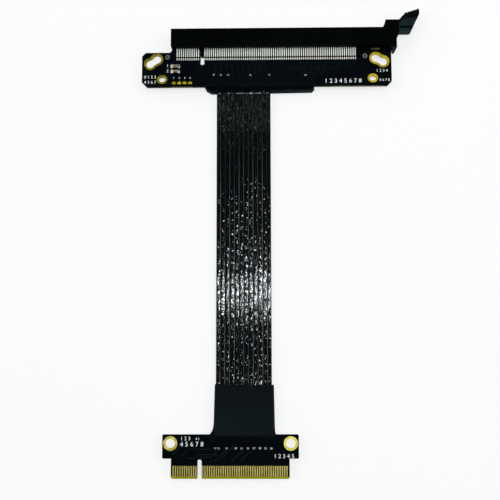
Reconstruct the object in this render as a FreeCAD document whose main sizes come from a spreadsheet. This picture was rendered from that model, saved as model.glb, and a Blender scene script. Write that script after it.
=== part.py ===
import FreeCAD, Part
import math
import os
import re
import Sketcher
from FreeCAD import Rotation, Vector

# A card slot extension: a long moulded card slot on its own circuit board, two flat shielded
# ribbon cables stacked on each other, and a short circuit board with gold edge fingers.
# It lies flat on its back. X runs along the slot, Y from the edge fingers to the slot's mouth,
# Z up from the surface it rests on. X = 0 is the ribbons' centre line, Y = 0 the middle of the
# slot housing's depth. All sizes are millimetres.

doc = FreeCAD.newDocument("slot_extension")

# Driving sizes, each written once, then the places worked out from them.

DRIVING = {
    "pin_pitch": 1.0,
    "short_row": 11,
    "long_row": 71,
    "edge_row": 38,
    "key_span": 3.0,
    "pin_offset": 31.0,
    "housing_depth": 8.7,
    "housing_height": 7.6,
    "housing_lip": 2.75,
    "corner_radius": 0.5,
    "guide_run": 14.0,
    "guide_length": 7.5,
    "guide_depth": 2.6,
    "card_gap": 1.75,
    "card_depth": 6.9,
    "card_margin": 1.25,
    "key_width": 1.7,
    "lead_in": 0.45,
    "chamber_width": 0.7,
    "chamber_height": 1.6,
    "channel_sink": 0.1,
    "tongue_depth": 0.85,
    "tongue_clear": 0.05,
    "rib_width": 1.4,
    "rib_length": 3.9,
    "rib_stand": 0.25,
    "recess_width": 3.9,
    "recess_height": 2.8,
    "recess_inset": 3.0,
    "recess_lead": 2.2,
    "recess_sunk": 0.3,
    "recess_pitch": 5.5,
    "recess_count": 17,
    "tower_run": 5.0,
    "tower_flare": 1.1,
    "tower_rise": 3.6,
    "tower_slope": 0.8,
    "tower_wall": 1.35,
    "pivot_inset": 2.8,
    "pivot_drop": 0.5,
    "pivot_radius": 1.1,
    "pivot_reach": 0.9,
    "pivot_clear": 0.05,
    "latch_clear": 0.1,
    "latch_lean": 25.0,
    "stem_left": 1.7,
    "stem_top": 6.6,
    "heel_right": 1.7,
    "heel_low": 3.1,
    "foot_left": 2.95,
    "foot_low": 4.95,
    "foot_right": 3.85,
    "foot_rise": 4.7,
    "toe_right": 4.05,
    "toe_low": 2.7,
    "waist_right": 2.0,
    "waist_high": 0.9,
    "skirt_left": 2.3,
    "skirt_low": 4.8,
    "skirt_round": 0.55,
    "head_right": 6.9,
    "head_high": 14.9,
    "hook_reach": 3.2,
    "hook_high": 7.8,
    "hook_tip": 0.7,
    "throat_left": 0.4,
    "throat_high": 9.8,
    "neck_right": 0.45,
    "neck_high": 12.7,
    "thumb_root": 0.6,
    "thumb_low": 12.85,
    "thumb_tip": 5.9,
    "thumb_high": 17.75,
    "thumb_thick": 1.6,
    "thumb_cut": 1.1,
    "thumb_lip": 0.1,
    "thumb_drop": 1.95,
    "thumb_inset": 0.2,
    "grip_radius": 0.32,
    "grip_count": 5,
    "line_left": 4.4,
    "line_low": 5.2,
    "line_width": 0.8,
    "line_sunk": 0.9,
    "contact_width": 0.42,
    "contact_thick": 0.2,
    "tail_length": 4.2,
    "foot_bend": 0.25,
    "bow_inset": 2.45,
    "bow_gap": 0.55,
    "tip_inset": 0.95,
    "tip_high": 1.2,
    "copper_thick": 0.05,
    "land_width": 0.52,
    "land_length": 5.6,
    "land_start": 0.05,
    "pcb_thick": 1.6,
    "shoulder_gap": 1.85,
    "board_clear": 0.15,
    "corner_step": 1.0,
    "slot_drop": 18.4,
    "left_reach": 16.35,
    "right_reach": 16.7,
    "corner_top": 1.7,
    "corner_left": 2.5,
    "corner_right": 2.2,
    "notch_width": 1.7,
    "notch_shift": 0.3,
    "notch_depth": 7.9,
    "notch_bulb": 1.05,
    "plating_wall": 0.2,
    "lobe_radius": 2.0,
    "lobe_waist": 1.75,
    "lobe_ring": 0.95,
    "lobe_gap": 3.7,
    "left_lobe_inset": 5.4,
    "left_lobe_drop": 6.15,
    "left_lobe_turn": 34.5,
    "right_lobe_inset": 5.55,
    "right_lobe_drop": 5.9,
    "right_lobe_turn": -27.5,
    "oval_width": 2.4,
    "oval_length": 3.1,
    "oval_ring": 0.88,
    "oval_inset": 9.45,
    "oval_span": 97.9,
    "oval_drop": 14.8,
    "mark_radius": 1.05,
    "mark_slit": 0.25,
    "mark_reach": 4.5,
    "mark_drop": 4.1,
    "chip_long": 2.0,
    "chip_wide": 1.25,
    "chip_high": 0.85,
    "chip_cap": 0.4,
    "chip_solder": 1.2,
    "chip_x": 0.8,
    "chip_drop": 8.5,
    "chip_pitch": 2.5,
    "header_radius": 0.9,
    "header_high": 0.25,
    "header_pitch": 2.54,
    "header_count": 4,
    "header_x": 1.5,
    "header_drop": 16.5,
    "clip_width": 4.1,
    "clip_length": 0.8,
    "clip_thick": 0.3,
    "clip_reach": 7.3,
    "ribbon_width": 25.0,
    "ribbon_thick": 0.9,
    "ribbon_cells": 12,
    "ribbon_margin": 0.3,
    "ribbon_chamfer": 0.2,
    "ribbon_stand": 0.05,
    "upper_start": 2.85,
    "upper_sink": 0.5,
    "upper_end": 0.95,
    "lower_start": 2.25,
    "lower_sink": 1.45,
    "lower_end": 0.65,
    "shield_gap": 0.4,
    "shield_thick": 0.6,
    "upper_bare": 3.2,
    "lower_bare": 1.5,
    "upper_reach": 1.5,
    "lower_reach": 1.8,
    "wire_width": 0.9,
    "wire_thick": 0.24,
    "film_thick": 0.15,
    "film_width": 51.2,
    "film_inset": 5.7,
    "film_corner": 3.2,
    "film_top": 14.0,
    "film_lap": 2.2,
    "film_hang": 0.2,
    "film_skew": 0.9,
    "film_round": 1.2,
    "backing_top": 11.5,
    "backing_lap": 2.65,
    "backing_low": 0.9,
    "backing_slant": 2.3,
    "backing_flat": 0.8,
    "backing_skew": 0.5,
    "cable_span": 158.5,
    "edge_board_low": 1.25,
    "edge_board_wide": 60.2,
    "ear_left": 3.9,
    "ear_high": 10.4,
    "tab_high": 8.7,
    "tab_margin": 1.1,
    "tab_notch": 1.9,
    "tab_notch_high": 8.3,
    "bevel_long": 1.0,
    "bevel_deep": 0.45,
    "tab_corner": 0.6,
    "finger_width": 0.7,
    "finger_top": 5.6,
    "bolt_radius": 2.1,
    "bolt_ring": 1.05,
    "bolt_span": 53.2,
    "bolt_drop": 3.85,
    "wrap_wall": 0.2,
    "wrap_width": 27.0,
    "wrap_run": 21.9,
    "wrap_lap": 4.1,
    "wrap_start_high": 2.9,
    "wrap_full_high": 4.1,
    "wrap_rise_run": 11.6,
    "flap_run": 1.95,
    "flap_thick": 0.2,
    "web_left": 15.4,
    "web_right": 14.1,
    "web_rise": 5.6,
    "flap_clear": 0.05,
}

PLACES = {
    "slot_first": "-pin_offset",
    "slot_short_end": "slot_first + (short_row - 1) * pin_pitch",
    "slot_long_start": "slot_short_end + key_span",
    "slot_last": "slot_long_start + (long_row - 1) * pin_pitch",
    "edge_last": "slot_long_start + (edge_row - 1) * pin_pitch",
    "key_centre": "slot_short_end + key_span / 2",
    "slot_mouth": "housing_depth / 2",
    "slot_rear": "-housing_depth / 2",
    "slot_middle": "housing_height / 2",
    "slot_face": "slot_middle + pcb_thick / 2",
    "slot_back": "slot_middle - pcb_thick / 2",
    "housing_left": "slot_first - housing_lip",
    "latch_wall": "slot_last + guide_run",
    "tower_right": "latch_wall + tower_run",
    "card_left": "slot_first - card_margin",
    "card_right": "slot_last + card_margin",
    "pivot_x": "latch_wall + pivot_inset",
    "pivot_y": "-pivot_drop",
    "latch_low": "tower_wall + latch_clear",
    "latch_thick": "housing_height - 2 * tower_wall - 2 * latch_clear",
    "board_left": "slot_first - left_reach",
    "board_right": "slot_last + right_reach",
    "board_shoulder": "slot_rear - shoulder_gap",
    "board_low": "slot_rear - slot_drop",
    "tongue_top": "slot_rear + tongue_depth - tongue_clear",
    "tongue_left": "housing_left + 0.3",
    "tongue_right": "slot_last + 10",
    "notch_centre": "key_centre + notch_shift",
    "notch_end": "slot_rear - notch_depth + notch_bulb",
    "edge_top": "board_low - cable_span",
    "ear_low": "edge_top - ear_high",
    "tab_low": "ear_low - tab_high",
    "tab_left": "slot_first - tab_margin",
    "tab_right": "edge_last + tab_margin",
    "edge_left": "tab_left - ear_left",
    "edge_right": "edge_left + edge_board_wide",
    "edge_middle": "edge_left + edge_board_wide / 2",
    "edge_face": "edge_board_low + pcb_thick",
    "wrap_top": "edge_top + wrap_run",
    "wrap_low": "edge_top - wrap_lap",
    "film_left": "-(ribbon_width / 2 + film_inset)",
}

sizes = doc.addObject("Spreadsheet::Sheet", "sizes")
for row, (alias, number) in enumerate(DRIVING.items(), start=1):
    sizes.set(f"A{row}", alias)
    sizes.set(f"B{row}", str(number))
    sizes.setAlias(f"B{row}", alias)
for row, (alias, formula) in enumerate(PLACES.items(), start=len(DRIVING) + 2):
    sizes.set(f"A{row}", alias)
    sizes.set(f"B{row}", "=" + formula)
    sizes.setAlias(f"B{row}", alias)
doc.recompute()


def bound(formula):
    """The formula with every size named as a cell of the sheet."""
    return re.sub(r"\b[a-z]+_[a-z_]+\b", lambda found: "sizes." + found.group(0), str(formula))


def value(formula):
    """The formula's number now."""
    return float(sizes.evalExpression(str(formula)))


def bind(feature, **formulas):
    """Ties properties of a feature to the sheet."""
    for name, formula in formulas.items():
        feature.setExpression(name, bound(formula))


# Helpers for bodies and sketches

PIECES = {}


def new_body(name):
    body = doc.addObject("PartDesign::Body", name)
    body.Label = name
    PIECES[name] = body
    return body


def new_sketch(body, role, name, lift="0"):
    """A sketch on one of the body's own origin planes, lifted along the plane's normal."""
    sketch = body.newObject("Sketcher::SketchObject", name)
    plane = next(o for o in body.Origin.OriginFeatures if o.Role == role)
    sketch.AttachmentSupport = [(plane, "")]
    sketch.MapMode = "FlatFace"
    bind(sketch, **{"AttachmentOffset.Base.z": lift})
    return sketch


def pin_point(sketch, geometry, end, across, up):
    """Fixes one point of a sketch to formulas of the sheet."""
    for kind, formula in (("DistanceX", across), ("DistanceY", up)):
        number = value(formula)
        index = sketch.addConstraint(Sketcher.Constraint(kind, -1, 1, geometry, end, number))
        sketch.setExpression(f"Constraints[{index}]", bound(formula))


def draw_outline(sketch, corners):
    """A closed outline of straight sides through corners given as pairs of formulas."""
    points = [Vector(value(x), value(y), 0) for x, y in corners]
    first = sketch.GeometryCount
    count = len(points)
    for number, point in enumerate(points):
        sketch.addGeometry(Part.LineSegment(point, points[(number + 1) % count]))
    for number in range(count):
        following = first + (number + 1) % count
        sketch.addConstraint(Sketcher.Constraint("Coincident", first + number, 2, following, 1))
    for number, (x, y) in enumerate(corners):
        pin_point(sketch, first + number, 1, x, y)


def draw_box(sketch, left, right, low, high):
    draw_outline(sketch, [(left, low), (right, low), (right, high), (left, high)])


def draw_circle(sketch, x, y, radius):
    circle = Part.Circle(Vector(value(x), value(y), 0), Vector(0, 0, 1), value(radius))
    geometry = sketch.addGeometry(circle)
    pin_point(sketch, geometry, 3, x, y)
    index = sketch.addConstraint(Sketcher.Constraint("Radius", geometry, value(radius)))
    sketch.setExpression(f"Constraints[{index}]", bound(radius))


def pad(body, sketch, name, length, midplane=False, backwards=False):
    feature = body.newObject("PartDesign::Pad", name)
    feature.Profile = sketch
    feature.SideType = "Symmetric" if midplane else "One side"
    feature.Reversed = backwards
    bind(feature, Length=length)
    return feature


def pocket(body, sketch, name, length=None, midplane=False, backwards=False):
    """Cuts the sketch's outline, through everything when no length is given."""
    feature = body.newObject("PartDesign::Pocket", name)
    feature.Profile = sketch
    feature.SideType = "Symmetric" if midplane else "One side"
    feature.Reversed = backwards
    if length is None:
        feature.Type = "ThroughAll"
    else:
        bind(feature, Length=length)
    return feature


def repeat(body, feature, name, pitch, count, role="X_Axis"):
    """Repeats a feature along one of the body's axes."""
    pattern = body.newObject("PartDesign::LinearPattern", name)
    pattern.Originals = [feature]
    axis = next(o for o in body.Origin.OriginFeatures if o.Role == role)
    pattern.Direction = (axis, [""])
    pattern.Mode = "Spacing"
    bind(pattern, Offset=pitch, Occurrences=count)
    body.Tip = pattern
    return pattern


def upright_edges(shape, places, reach=0.05):
    """Names of the edges that stand along Z at the given places."""
    names = []
    for number, edge in enumerate(shape.Edges, start=1):
        start, end = edge.Vertexes[0].Point, edge.Vertexes[-1].Point
        if abs(start.z - end.z) < reach or (start - end).cross(Vector(0, 0, 1)).Length > reach:
            continue
        if any(math.hypot(start.x - x, start.y - y) < reach for x, y in places):
            names.append(f"Edge{number}")
    return names


def round_upright(body, base, name, places, radius):
    doc.recompute()
    feature = body.newObject("PartDesign::Fillet", name)
    corners = [(value(x), value(y)) for x, y in places]
    feature.Base = (base, upright_edges(base.Shape, corners))
    bind(feature, Radius=radius)
    return feature


def free_piece(name, solids):
    """A node of solids that are shaped by functions of their own."""
    feature = doc.addObject("Part::Feature", name)
    feature.Label = name
    feature.Shape = solids[0] if len(solids) == 1 else Part.makeCompound(solids)
    PIECES[name] = feature
    return feature


def block(left, right, low, high, bottom, top):
    return Part.makeBox(right - left, high - low, top - bottom, Vector(left, low, bottom))


# Slot housing: one long moulding with a card slot between two rows of contact chambers. Its
# right end rises into a tower of two cheeks that carry the latch on blind pivot bores, and a
# rib below the key locates the board.

def make_slot_housing():
    body = new_body("slot_housing")
    outline = new_sketch(body, "XY_Plane", "housing_outline")
    draw_outline(outline, [
        ("housing_left", "slot_rear"),
        ("tower_right", "slot_rear"),
        ("tower_right", "0"),
        ("tower_right + tower_flare", "tower_flare"),
        ("tower_right + tower_flare", "slot_mouth + tower_rise"),
        ("latch_wall", "slot_mouth + tower_rise"),
        ("latch_wall - tower_slope", "slot_mouth"),
        ("housing_left", "slot_mouth"),
    ])
    moulding = pad(body, outline, "housing_moulding", "housing_height")
    round_upright(body, moulding, "housing_corners", [
        ("housing_left", "slot_rear"),
        ("housing_left", "slot_mouth"),
        ("tower_right", "0"),
        ("tower_right + tower_flare", "tower_flare"),
        ("latch_wall", "slot_mouth + tower_rise"),
    ], "corner_radius")

    latch_gap = new_sketch(body, "XZ_Plane", "latch_gap")
    draw_box(latch_gap, "latch_wall", "tower_right + 2 * tower_flare",
             "tower_wall", "housing_height - tower_wall")
    pocket(body, latch_gap, "latch_pocket", midplane=True)

    hook_gap = new_sketch(body, "XZ_Plane", "hook_gap", "-slot_mouth")
    draw_box(hook_gap, "latch_wall - 2 * tower_slope", "latch_wall + tower_slope",
             "tower_wall", "housing_height - tower_wall")
    pocket(body, hook_gap, "hook_window")

    bores = new_sketch(body, "XY_Plane", "pivot_bore_circle", "slot_middle")
    draw_circle(bores, "pivot_x", "pivot_y", "pivot_radius + pivot_clear")
    pocket(body, bores, "pivot_bores",
           "housing_height - 2 * tower_wall + 2 * pivot_reach", midplane=True)

    card_slot = new_sketch(body, "XZ_Plane", "card_slot", "-slot_mouth")
    lower_side, upper_side = "slot_middle - card_gap / 2", "slot_middle + card_gap / 2"
    draw_box(card_slot, "card_left", "key_centre - key_width / 2", lower_side, upper_side)
    draw_box(card_slot, "key_centre + key_width / 2", "card_right", lower_side, upper_side)
    pocket(body, card_slot, "card_slot_pocket", "card_depth", backwards=True)

    guide = new_sketch(body, "XZ_Plane", "guide_slot", "-slot_mouth")
    draw_box(guide, "latch_wall - guide_length", "latch_wall + tower_slope", lower_side, upper_side)
    pocket(body, guide, "guide_pocket", "guide_depth", backwards=True)

    tongue = new_sketch(body, "XZ_Plane", "tongue_groove", "-slot_rear")
    draw_box(tongue, "tongue_left - tongue_clear", "tongue_right + tongue_clear",
             "slot_back - tongue_clear", "slot_face + tongue_clear")
    pocket(body, tongue, "tongue_pocket", "tongue_depth")

    rib = new_sketch(body, "XZ_Plane", "key_rib", "-(slot_rear + tongue_depth)")
    draw_box(rib, "notch_centre - rib_width / 2", "notch_centre + rib_width / 2",
             "slot_back - rib_stand", "slot_face + rib_stand")
    pad(body, rib, "key_rib_pad", "rib_length + tongue_depth")

    lead_in = new_sketch(body, "YZ_Plane", "lead_in", "card_left")
    draw_outline(lead_in, [
        ("slot_mouth - lead_in", lower_side),
        ("slot_mouth", lower_side + " - lead_in"),
        ("slot_mouth", upper_side + " + lead_in"),
        ("slot_mouth - lead_in", upper_side),
    ])
    pocket(body, lead_in, "lead_in_pocket", "card_right - card_left", backwards=True)

    recess = new_sketch(body, "XY_Plane", "face_recess", "housing_height")
    draw_box(recess, "slot_first - recess_lead", "slot_first - recess_lead + recess_width",
             "slot_mouth - recess_inset", "slot_mouth - recess_inset + recess_height")
    first = pocket(body, recess, "face_recess_pocket", "recess_sunk")
    repeat(body, first, "face_recess_row", "recess_pitch", "recess_count")

    upper_top, lower_end = upper_side + " + chamber_height", lower_side + " - chamber_height"
    for row, start, end, count in (("short", "slot_first", "slot_short_end", "short_row"),
                                   ("long", "slot_long_start", "slot_last", "long_row")):
        channels = new_sketch(body, "XZ_Plane", f"{row}_tail_channels", "-slot_rear")
        left, right = f"{start} - chamber_width / 2", f"{end} + chamber_width / 2"
        draw_box(channels, left, right, "slot_face - channel_sink", upper_top)
        draw_box(channels, left, right, lower_end, "slot_back + channel_sink")
        pocket(body, channels, f"{row}_channel_pocket", "housing_depth - card_depth")

        chambers = new_sketch(body, "XZ_Plane", f"{row}_chambers", "-slot_mouth")
        right = f"{start} + chamber_width / 2"
        draw_box(chambers, left, right, upper_side, upper_top)
        draw_box(chambers, left, right, lower_end, lower_side)
        first = pocket(body, chambers, f"{row}_chamber_pocket", "card_depth", backwards=True)
        repeat(body, first, f"{row}_chamber_row", "pin_pitch", count)


make_slot_housing()


# Contacts: a stamped spring strip for each position. Its tail is soldered to the board, its
# beam leans to the middle of the slot, and its tip turns away again to lead the card in.

def make_contacts(name, side):
    """side is 1 above the board and -1 below it."""
    body = new_body(name)

    def level(distance):
        return f"slot_middle + ({side}) * ({distance})"

    inner = "pcb_thick / 2 + copper_thick"
    outer = inner + " + contact_thick"
    strip = [
        ("slot_rear - tail_length", inner),
        ("slot_rear - foot_bend", inner),
        ("slot_mouth - bow_inset", "bow_gap"),
        ("slot_mouth - tip_inset", "tip_high"),
        ("slot_mouth - bow_inset", "bow_gap + contact_thick"),
        ("slot_rear - foot_bend", outer),
    ]
    for row, start, count in (("short", "slot_first", "short_row"),
                              ("long", "slot_long_start", "long_row")):
        profile = new_sketch(body, "YZ_Plane", f"{name}_{row}", f"{start} - contact_width / 2")
        draw_outline(profile, [(along, level(up)) for along, up in strip])
        first = pad(body, profile, f"{name}_{row}_strip", "contact_width")
        repeat(body, first, f"{name}_{row}_row", "pin_pitch", count)


make_contacts("slot_contacts_front", 1)
make_contacts("slot_contacts_back", -1)


# Retention latch: a moulded lever drawn upright about its pivot and then leaned out to where
# it rests when open. A hook faces the slot, a ribbed thumb pad crowns it, a foot hangs below.

def turned_sketch(body, name, lift):
    """A sketch about the pivot that leans out with the open latch."""
    sketch = new_sketch(body, "XY_Plane", name, lift)
    sketch.AttachmentOffset.Rotation = Rotation(Vector(0, 0, -1), value("latch_lean"))
    bind(sketch, **{
        "AttachmentOffset.Base.x": "pivot_x",
        "AttachmentOffset.Base.y": "pivot_y",
        "AttachmentOffset.Rotation.Angle": "latch_lean",
    })
    return sketch


def make_latch():
    body = new_body("retention_latch")
    lever = turned_sketch(body, "latch_lever", "latch_low")
    level = "* tan(latch_lean * 1 deg)"
    draw_outline(lever, [
        ("foot_left", "-foot_low"),
        ("foot_right", "-foot_rise"),
        ("toe_right", "-toe_low"),
        ("waist_right", "waist_high"),
        ("skirt_left", "skirt_low"),
        ("head_right - skirt_round", "skirt_low + (head_right - skirt_round - skirt_left)" + level),
        ("head_right", "skirt_low + skirt_round + (head_right - skirt_left)" + level),
        ("head_right", "head_high"),
        ("head_right + thumb_lip", "thumb_high - thumb_drop"),
        ("thumb_tip", "thumb_high"),
        ("thumb_root", "thumb_low"),
        ("neck_right", "neck_high"),
        ("-throat_left", "throat_high"),
        ("-hook_reach", "hook_high"),
        ("-hook_reach", "hook_high - hook_tip"),
        ("-stem_left", "stem_top"),
        ("-stem_left", "-stem_left"),
        ("heel_right", "-heel_low"),
    ])
    pad(body, lever, "latch_lever_pad", "latch_thick")

    thumb = turned_sketch(body, "latch_thumb", "thumb_inset")
    draw_outline(thumb, [
        ("thumb_root", "thumb_low"),
        ("thumb_root + thumb_cut", "thumb_low - thumb_thick"),
        ("head_right + thumb_lip", "thumb_high - thumb_drop"),
        ("thumb_tip", "thumb_high"),
    ])
    pad(body, thumb, "latch_thumb_pad", "housing_height - 2 * thumb_inset")

    grips = turned_sketch(body, "latch_grips", "thumb_inset")
    for number in range(int(value("grip_count"))):
        share = f"({number} + 0.5) / grip_count"
        draw_circle(grips, f"thumb_root + (thumb_tip - thumb_root) * {share}",
                    f"thumb_low + (thumb_high - thumb_low) * {share}", "grip_radius")
    pad(body, grips, "latch_grip_ribs", "housing_height - 2 * thumb_inset")

    trunnion = turned_sketch(body, "latch_trunnion", "latch_low - pivot_reach")
    draw_circle(trunnion, "0", "0", "pivot_radius")
    pad(body, trunnion, "latch_trunnion_pad", "latch_thick + 2 * pivot_reach")

    for face, lift, inwards in (("upper", "latch_low + latch_thick", False),
                                ("lower", "latch_low", True)):
        line = new_sketch(body, "XY_Plane", f"latch_{face}_line", lift)
        draw_box(line, "pivot_x + line_left", "pivot_x + 2 * head_right",
                 "pivot_y + line_low", "pivot_y + line_low + line_width")
        pocket(body, line, f"latch_{face}_groove", "line_sunk", backwards=inwards)


make_latch()


# Slot board: black laminate with a tongue in the housing's rear groove, a relieved key notch,
# cut corners and four plated slots.

LOBES = {
    "left": ("board_left + left_lobe_inset", "slot_rear - left_lobe_drop", "left_lobe_turn"),
    "right": ("board_right - right_lobe_inset", "slot_rear - right_lobe_drop", "right_lobe_turn"),
}
OVALS = ("board_left + oval_inset", "board_left + oval_inset + oval_span")


def lobe_centres(side):
    x, y, turn = LOBES[side]
    across = f"lobe_gap / 2 * cos({turn} * 1 deg)"
    up = f"lobe_gap / 2 * sin({turn} * 1 deg)"
    return ((f"{x} - {across}", f"{y} - {up}"), (f"{x} + {across}", f"{y} + {up}"))


def draw_waist(sketch, side, half):
    """The straight stretch between two lobes, half as wide as given to each side."""
    x, y, turn = LOBES[side]
    corners = []
    for along, off in ((-1, -1), (1, -1), (1, 1), (-1, 1)):
        reach, stand = f"({along}) * lobe_gap / 2", f"({off}) * ({half})"
        corners.append((
            f"{x} + {reach} * cos({turn} * 1 deg) - {stand} * sin({turn} * 1 deg)",
            f"{y} + {reach} * sin({turn} * 1 deg) + {stand} * cos({turn} * 1 deg)",
        ))
    draw_outline(sketch, corners)


def draw_oval(sketch, x, y, half_width, half_length):
    """A slot's outline with round ends."""
    straight = f"({half_length}) - ({half_width})"
    left, right = f"{x} - ({straight})", f"{x} + ({straight})"
    low, high = f"{y} - ({half_width})", f"{y} + ({half_width})"
    first = sketch.GeometryCount
    centres = [Vector(value(side), value(y), 0) for side in (left, right)]
    radius = value(half_width)
    sketch.addGeometry(Part.LineSegment(Vector(value(left), value(low), 0), Vector(value(right), value(low), 0)))
    sketch.addGeometry(Part.ArcOfCircle(Part.Circle(centres[1], Vector(0, 0, 1), radius), -math.pi / 2, math.pi / 2))
    sketch.addGeometry(Part.LineSegment(Vector(value(right), value(high), 0), Vector(value(left), value(high), 0)))
    sketch.addGeometry(Part.ArcOfCircle(Part.Circle(centres[0], Vector(0, 0, 1), radius), math.pi / 2, 1.5 * math.pi))
    for number in range(4):
        end = 2
        following = first + (number + 1) % 4
        sketch.addConstraint(Sketcher.Constraint("Coincident", first + number, end, following, 1))
    pin_point(sketch, first, 1, left, low)
    pin_point(sketch, first, 2, right, low)
    pin_point(sketch, first + 2, 1, right, high)
    pin_point(sketch, first + 2, 2, left, high)
    for arc, centre in ((first + 1, right), (first + 3, left)):
        index = sketch.addConstraint(Sketcher.Constraint("DistanceX", -1, 1, arc, 3, value(centre)))
        sketch.setExpression(f"Constraints[{index}]", bound(centre))


def make_slot_board():
    body = new_body("slot_board")
    outline = new_sketch(body, "XY_Plane", "slot_board_outline", "slot_back")
    draw_outline(outline, [
        ("board_left", "board_low + corner_left"),
        ("board_left + corner_left", "board_low"),
        ("board_right - corner_right", "board_low"),
        ("board_right", "board_low + corner_right"),
        ("board_right", "slot_rear - board_clear"),
        ("tongue_right", "slot_rear - board_clear"),
        ("tongue_right", "tongue_top"),
        ("notch_centre + notch_width / 2", "tongue_top"),
        ("notch_centre + notch_width / 2", "notch_end"),
        ("notch_centre - notch_width / 2", "notch_end"),
        ("notch_centre - notch_width / 2", "tongue_top"),
        ("tongue_left", "tongue_top"),
        ("tongue_left", "board_shoulder + corner_step"),
        ("tongue_left - corner_step", "board_shoulder"),
        ("board_left + corner_top", "board_shoulder"),
        ("board_left", "board_shoulder - corner_top"),
    ])
    pad(body, outline, "slot_board_laminate", "pcb_thick")

    relief = new_sketch(body, "XY_Plane", "notch_relief", "slot_face")
    draw_circle(relief, "notch_centre", "notch_end", "notch_bulb")
    pocket(body, relief, "notch_relief_pocket", "pcb_thick")

    for number in range(2):
        lobes = new_sketch(body, "XY_Plane", f"lobe_holes_{number}", "slot_face")
        for side in LOBES:
            x, y = lobe_centres(side)[number]
            draw_circle(lobes, x, y, "lobe_radius + plating_wall")
        pocket(body, lobes, f"lobe_pocket_{number}", "pcb_thick")
    waists = new_sketch(body, "XY_Plane", "waist_holes", "slot_face")
    for side in LOBES:
        draw_waist(waists, side, "lobe_waist + plating_wall")
    pocket(body, waists, "waist_pocket", "pcb_thick")

    ovals = new_sketch(body, "XY_Plane", "oval_holes", "slot_face")
    for x in OVALS:
        draw_oval(ovals, x, "slot_rear - oval_drop",
                  "oval_width / 2 + plating_wall", "oval_length / 2 + plating_wall")
    pocket(body, ovals, "oval_pocket", "pcb_thick")


make_slot_board()


# Plating: gold rings on both faces of a board, joined by a barrel through the hole.

def lobed_prism(side, grow, bottom, top):
    """A double round hole's shape, grown outwards, between two levels."""
    ends = lobe_centres(side)
    height = top - bottom
    shape = None
    for x, y in ends:
        lobe = Part.makeCylinder(value("lobe_radius") + grow, height, Vector(value(x), value(y), bottom))
        shape = lobe if shape is None else shape.fuse(lobe)
    x, y, turn = (value(item) for item in LOBES[side])
    length, half = value("lobe_gap"), value("lobe_waist") + grow
    waist = block(-length / 2, length / 2, -half, half, 0, height)
    waist.rotate(Vector(0, 0, 0), Vector(0, 0, 1), turn)
    waist.translate(Vector(x, y, bottom))
    return shape.fuse(waist).removeSplitter()


def oval_prism(x, y, grow, bottom, top):
    """A slotted hole's shape, grown outwards, between two levels."""
    half = value("oval_width") / 2 + grow
    straight = (value("oval_length") - value("oval_width")) / 2
    height = top - bottom
    ends = [Part.makeCylinder(half, height, Vector(x + side * straight, y, bottom)) for side in (-1, 1)]
    middle = block(x - straight, x + straight, y - half, y + half, bottom, top)
    return ends[0].fuse([ends[1], middle]).removeSplitter()


def round_prism(x, y, radius, bottom, top):
    return Part.makeCylinder(radius, top - bottom, Vector(x, y, bottom))


def many_sided(x, y, radius, bottom, top, top_radius=None, sides=12):
    """A low round spot drawn with flat sides, narrower at the top where a radius is given."""
    rims = []
    for size, level in ((radius, bottom), (top_radius or radius, top)):
        turns = [2 * math.pi * (number + 0.5) / sides for number in range(sides)]
        corners = [Vector(x + size * math.cos(turn), y + size * math.sin(turn), level) for turn in turns]
        rims.append(Part.makePolygon(corners + corners[:1]))
    return Part.makeLoft(rims, True, True)


def plated(prism, ring, back, face):
    """Rings and barrel around a hole; prism makes the hole's shape, grown by its first argument."""
    copper, wall = value("copper_thick"), value("plating_wall")
    rings = [prism(ring, back - copper, back), prism(ring, face, face + copper)]
    barrel = prism(wall, back - copper, face + copper)
    hole = prism(0, back - 2 * copper, face + 2 * copper)
    return barrel.fuse(rings).cut(hole).removeSplitter()


def make_platings():
    back, face = value("slot_back"), value("slot_face")
    large = [plated(lambda grow, low, high, s=side: lobed_prism(s, grow, low, high),
                    value("lobe_ring"), back, face) for side in LOBES]
    free_piece("large_hole_plating", large)

    y = value("slot_rear - oval_drop")
    small = [plated(lambda grow, low, high, x=value(place): oval_prism(x, y, grow, low, high),
                    value("oval_ring"), back, face) for place in OVALS]
    free_piece("small_hole_plating", small)

    back, face = value("edge_board_low"), value("edge_face")
    y, radius = value("edge_top - bolt_drop"), value("bolt_radius")
    bolts = [plated(lambda grow, low, high, x=value(f"edge_middle + ({side}) * bolt_span / 2"):
                    round_prism(x, y, radius + grow, low, high),
                    value("bolt_ring"), back, face) for side in (-1, 1)]
    free_piece("edge_hole_plating", bolts)


make_platings()


# Lands: the gilded copper strips that the contact tails are soldered to, and the round test
# and marking spots of the slot board.

def pin_places():
    """X of every contact position of the slot."""
    pitch = value("pin_pitch")
    places = [value("slot_first") + pitch * number for number in range(int(value("short_row")))]
    places += [value("slot_long_start") + pitch * number for number in range(int(value("long_row")))]
    return places


def make_lands(name, bottom):
    half, copper = value("land_width / 2"), value("copper_thick")
    low, high = value("slot_rear - land_length"), value("slot_rear - land_start")
    free_piece(name, [block(x - half, x + half, low, high, bottom, bottom + copper) for x in pin_places()])


make_lands("slot_lands_front", value("slot_face"))
make_lands("slot_lands_back", value("slot_back - copper_thick"))


def make_spots():
    face, copper = value("slot_face"), value("copper_thick")
    radius, slit = value("mark_radius"), value("mark_slit")
    y = value("slot_rear - mark_drop")
    marks = []
    for x in (value("slot_first - mark_reach"), value("slot_last + mark_reach")):
        disc = many_sided(x, y, radius, face, face + copper)
        line = block(x - 0.6 * radius, x + 0.6 * radius, y - slit / 2, y + slit / 2, face, face + 2 * copper)
        marks.append(disc.cut(line))
    free_piece("placement_marks", marks)

    radius, high = value("header_radius"), value("header_high")
    spots = []
    for number in range(int(value("header_count"))):
        x = value("slot_first - header_x") + value("header_pitch") * number
        spots.append(many_sided(x, value("slot_rear - header_drop"), radius, face, face + high, radius * 0.6))
    free_piece("header_spots", spots)


make_spots()


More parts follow.
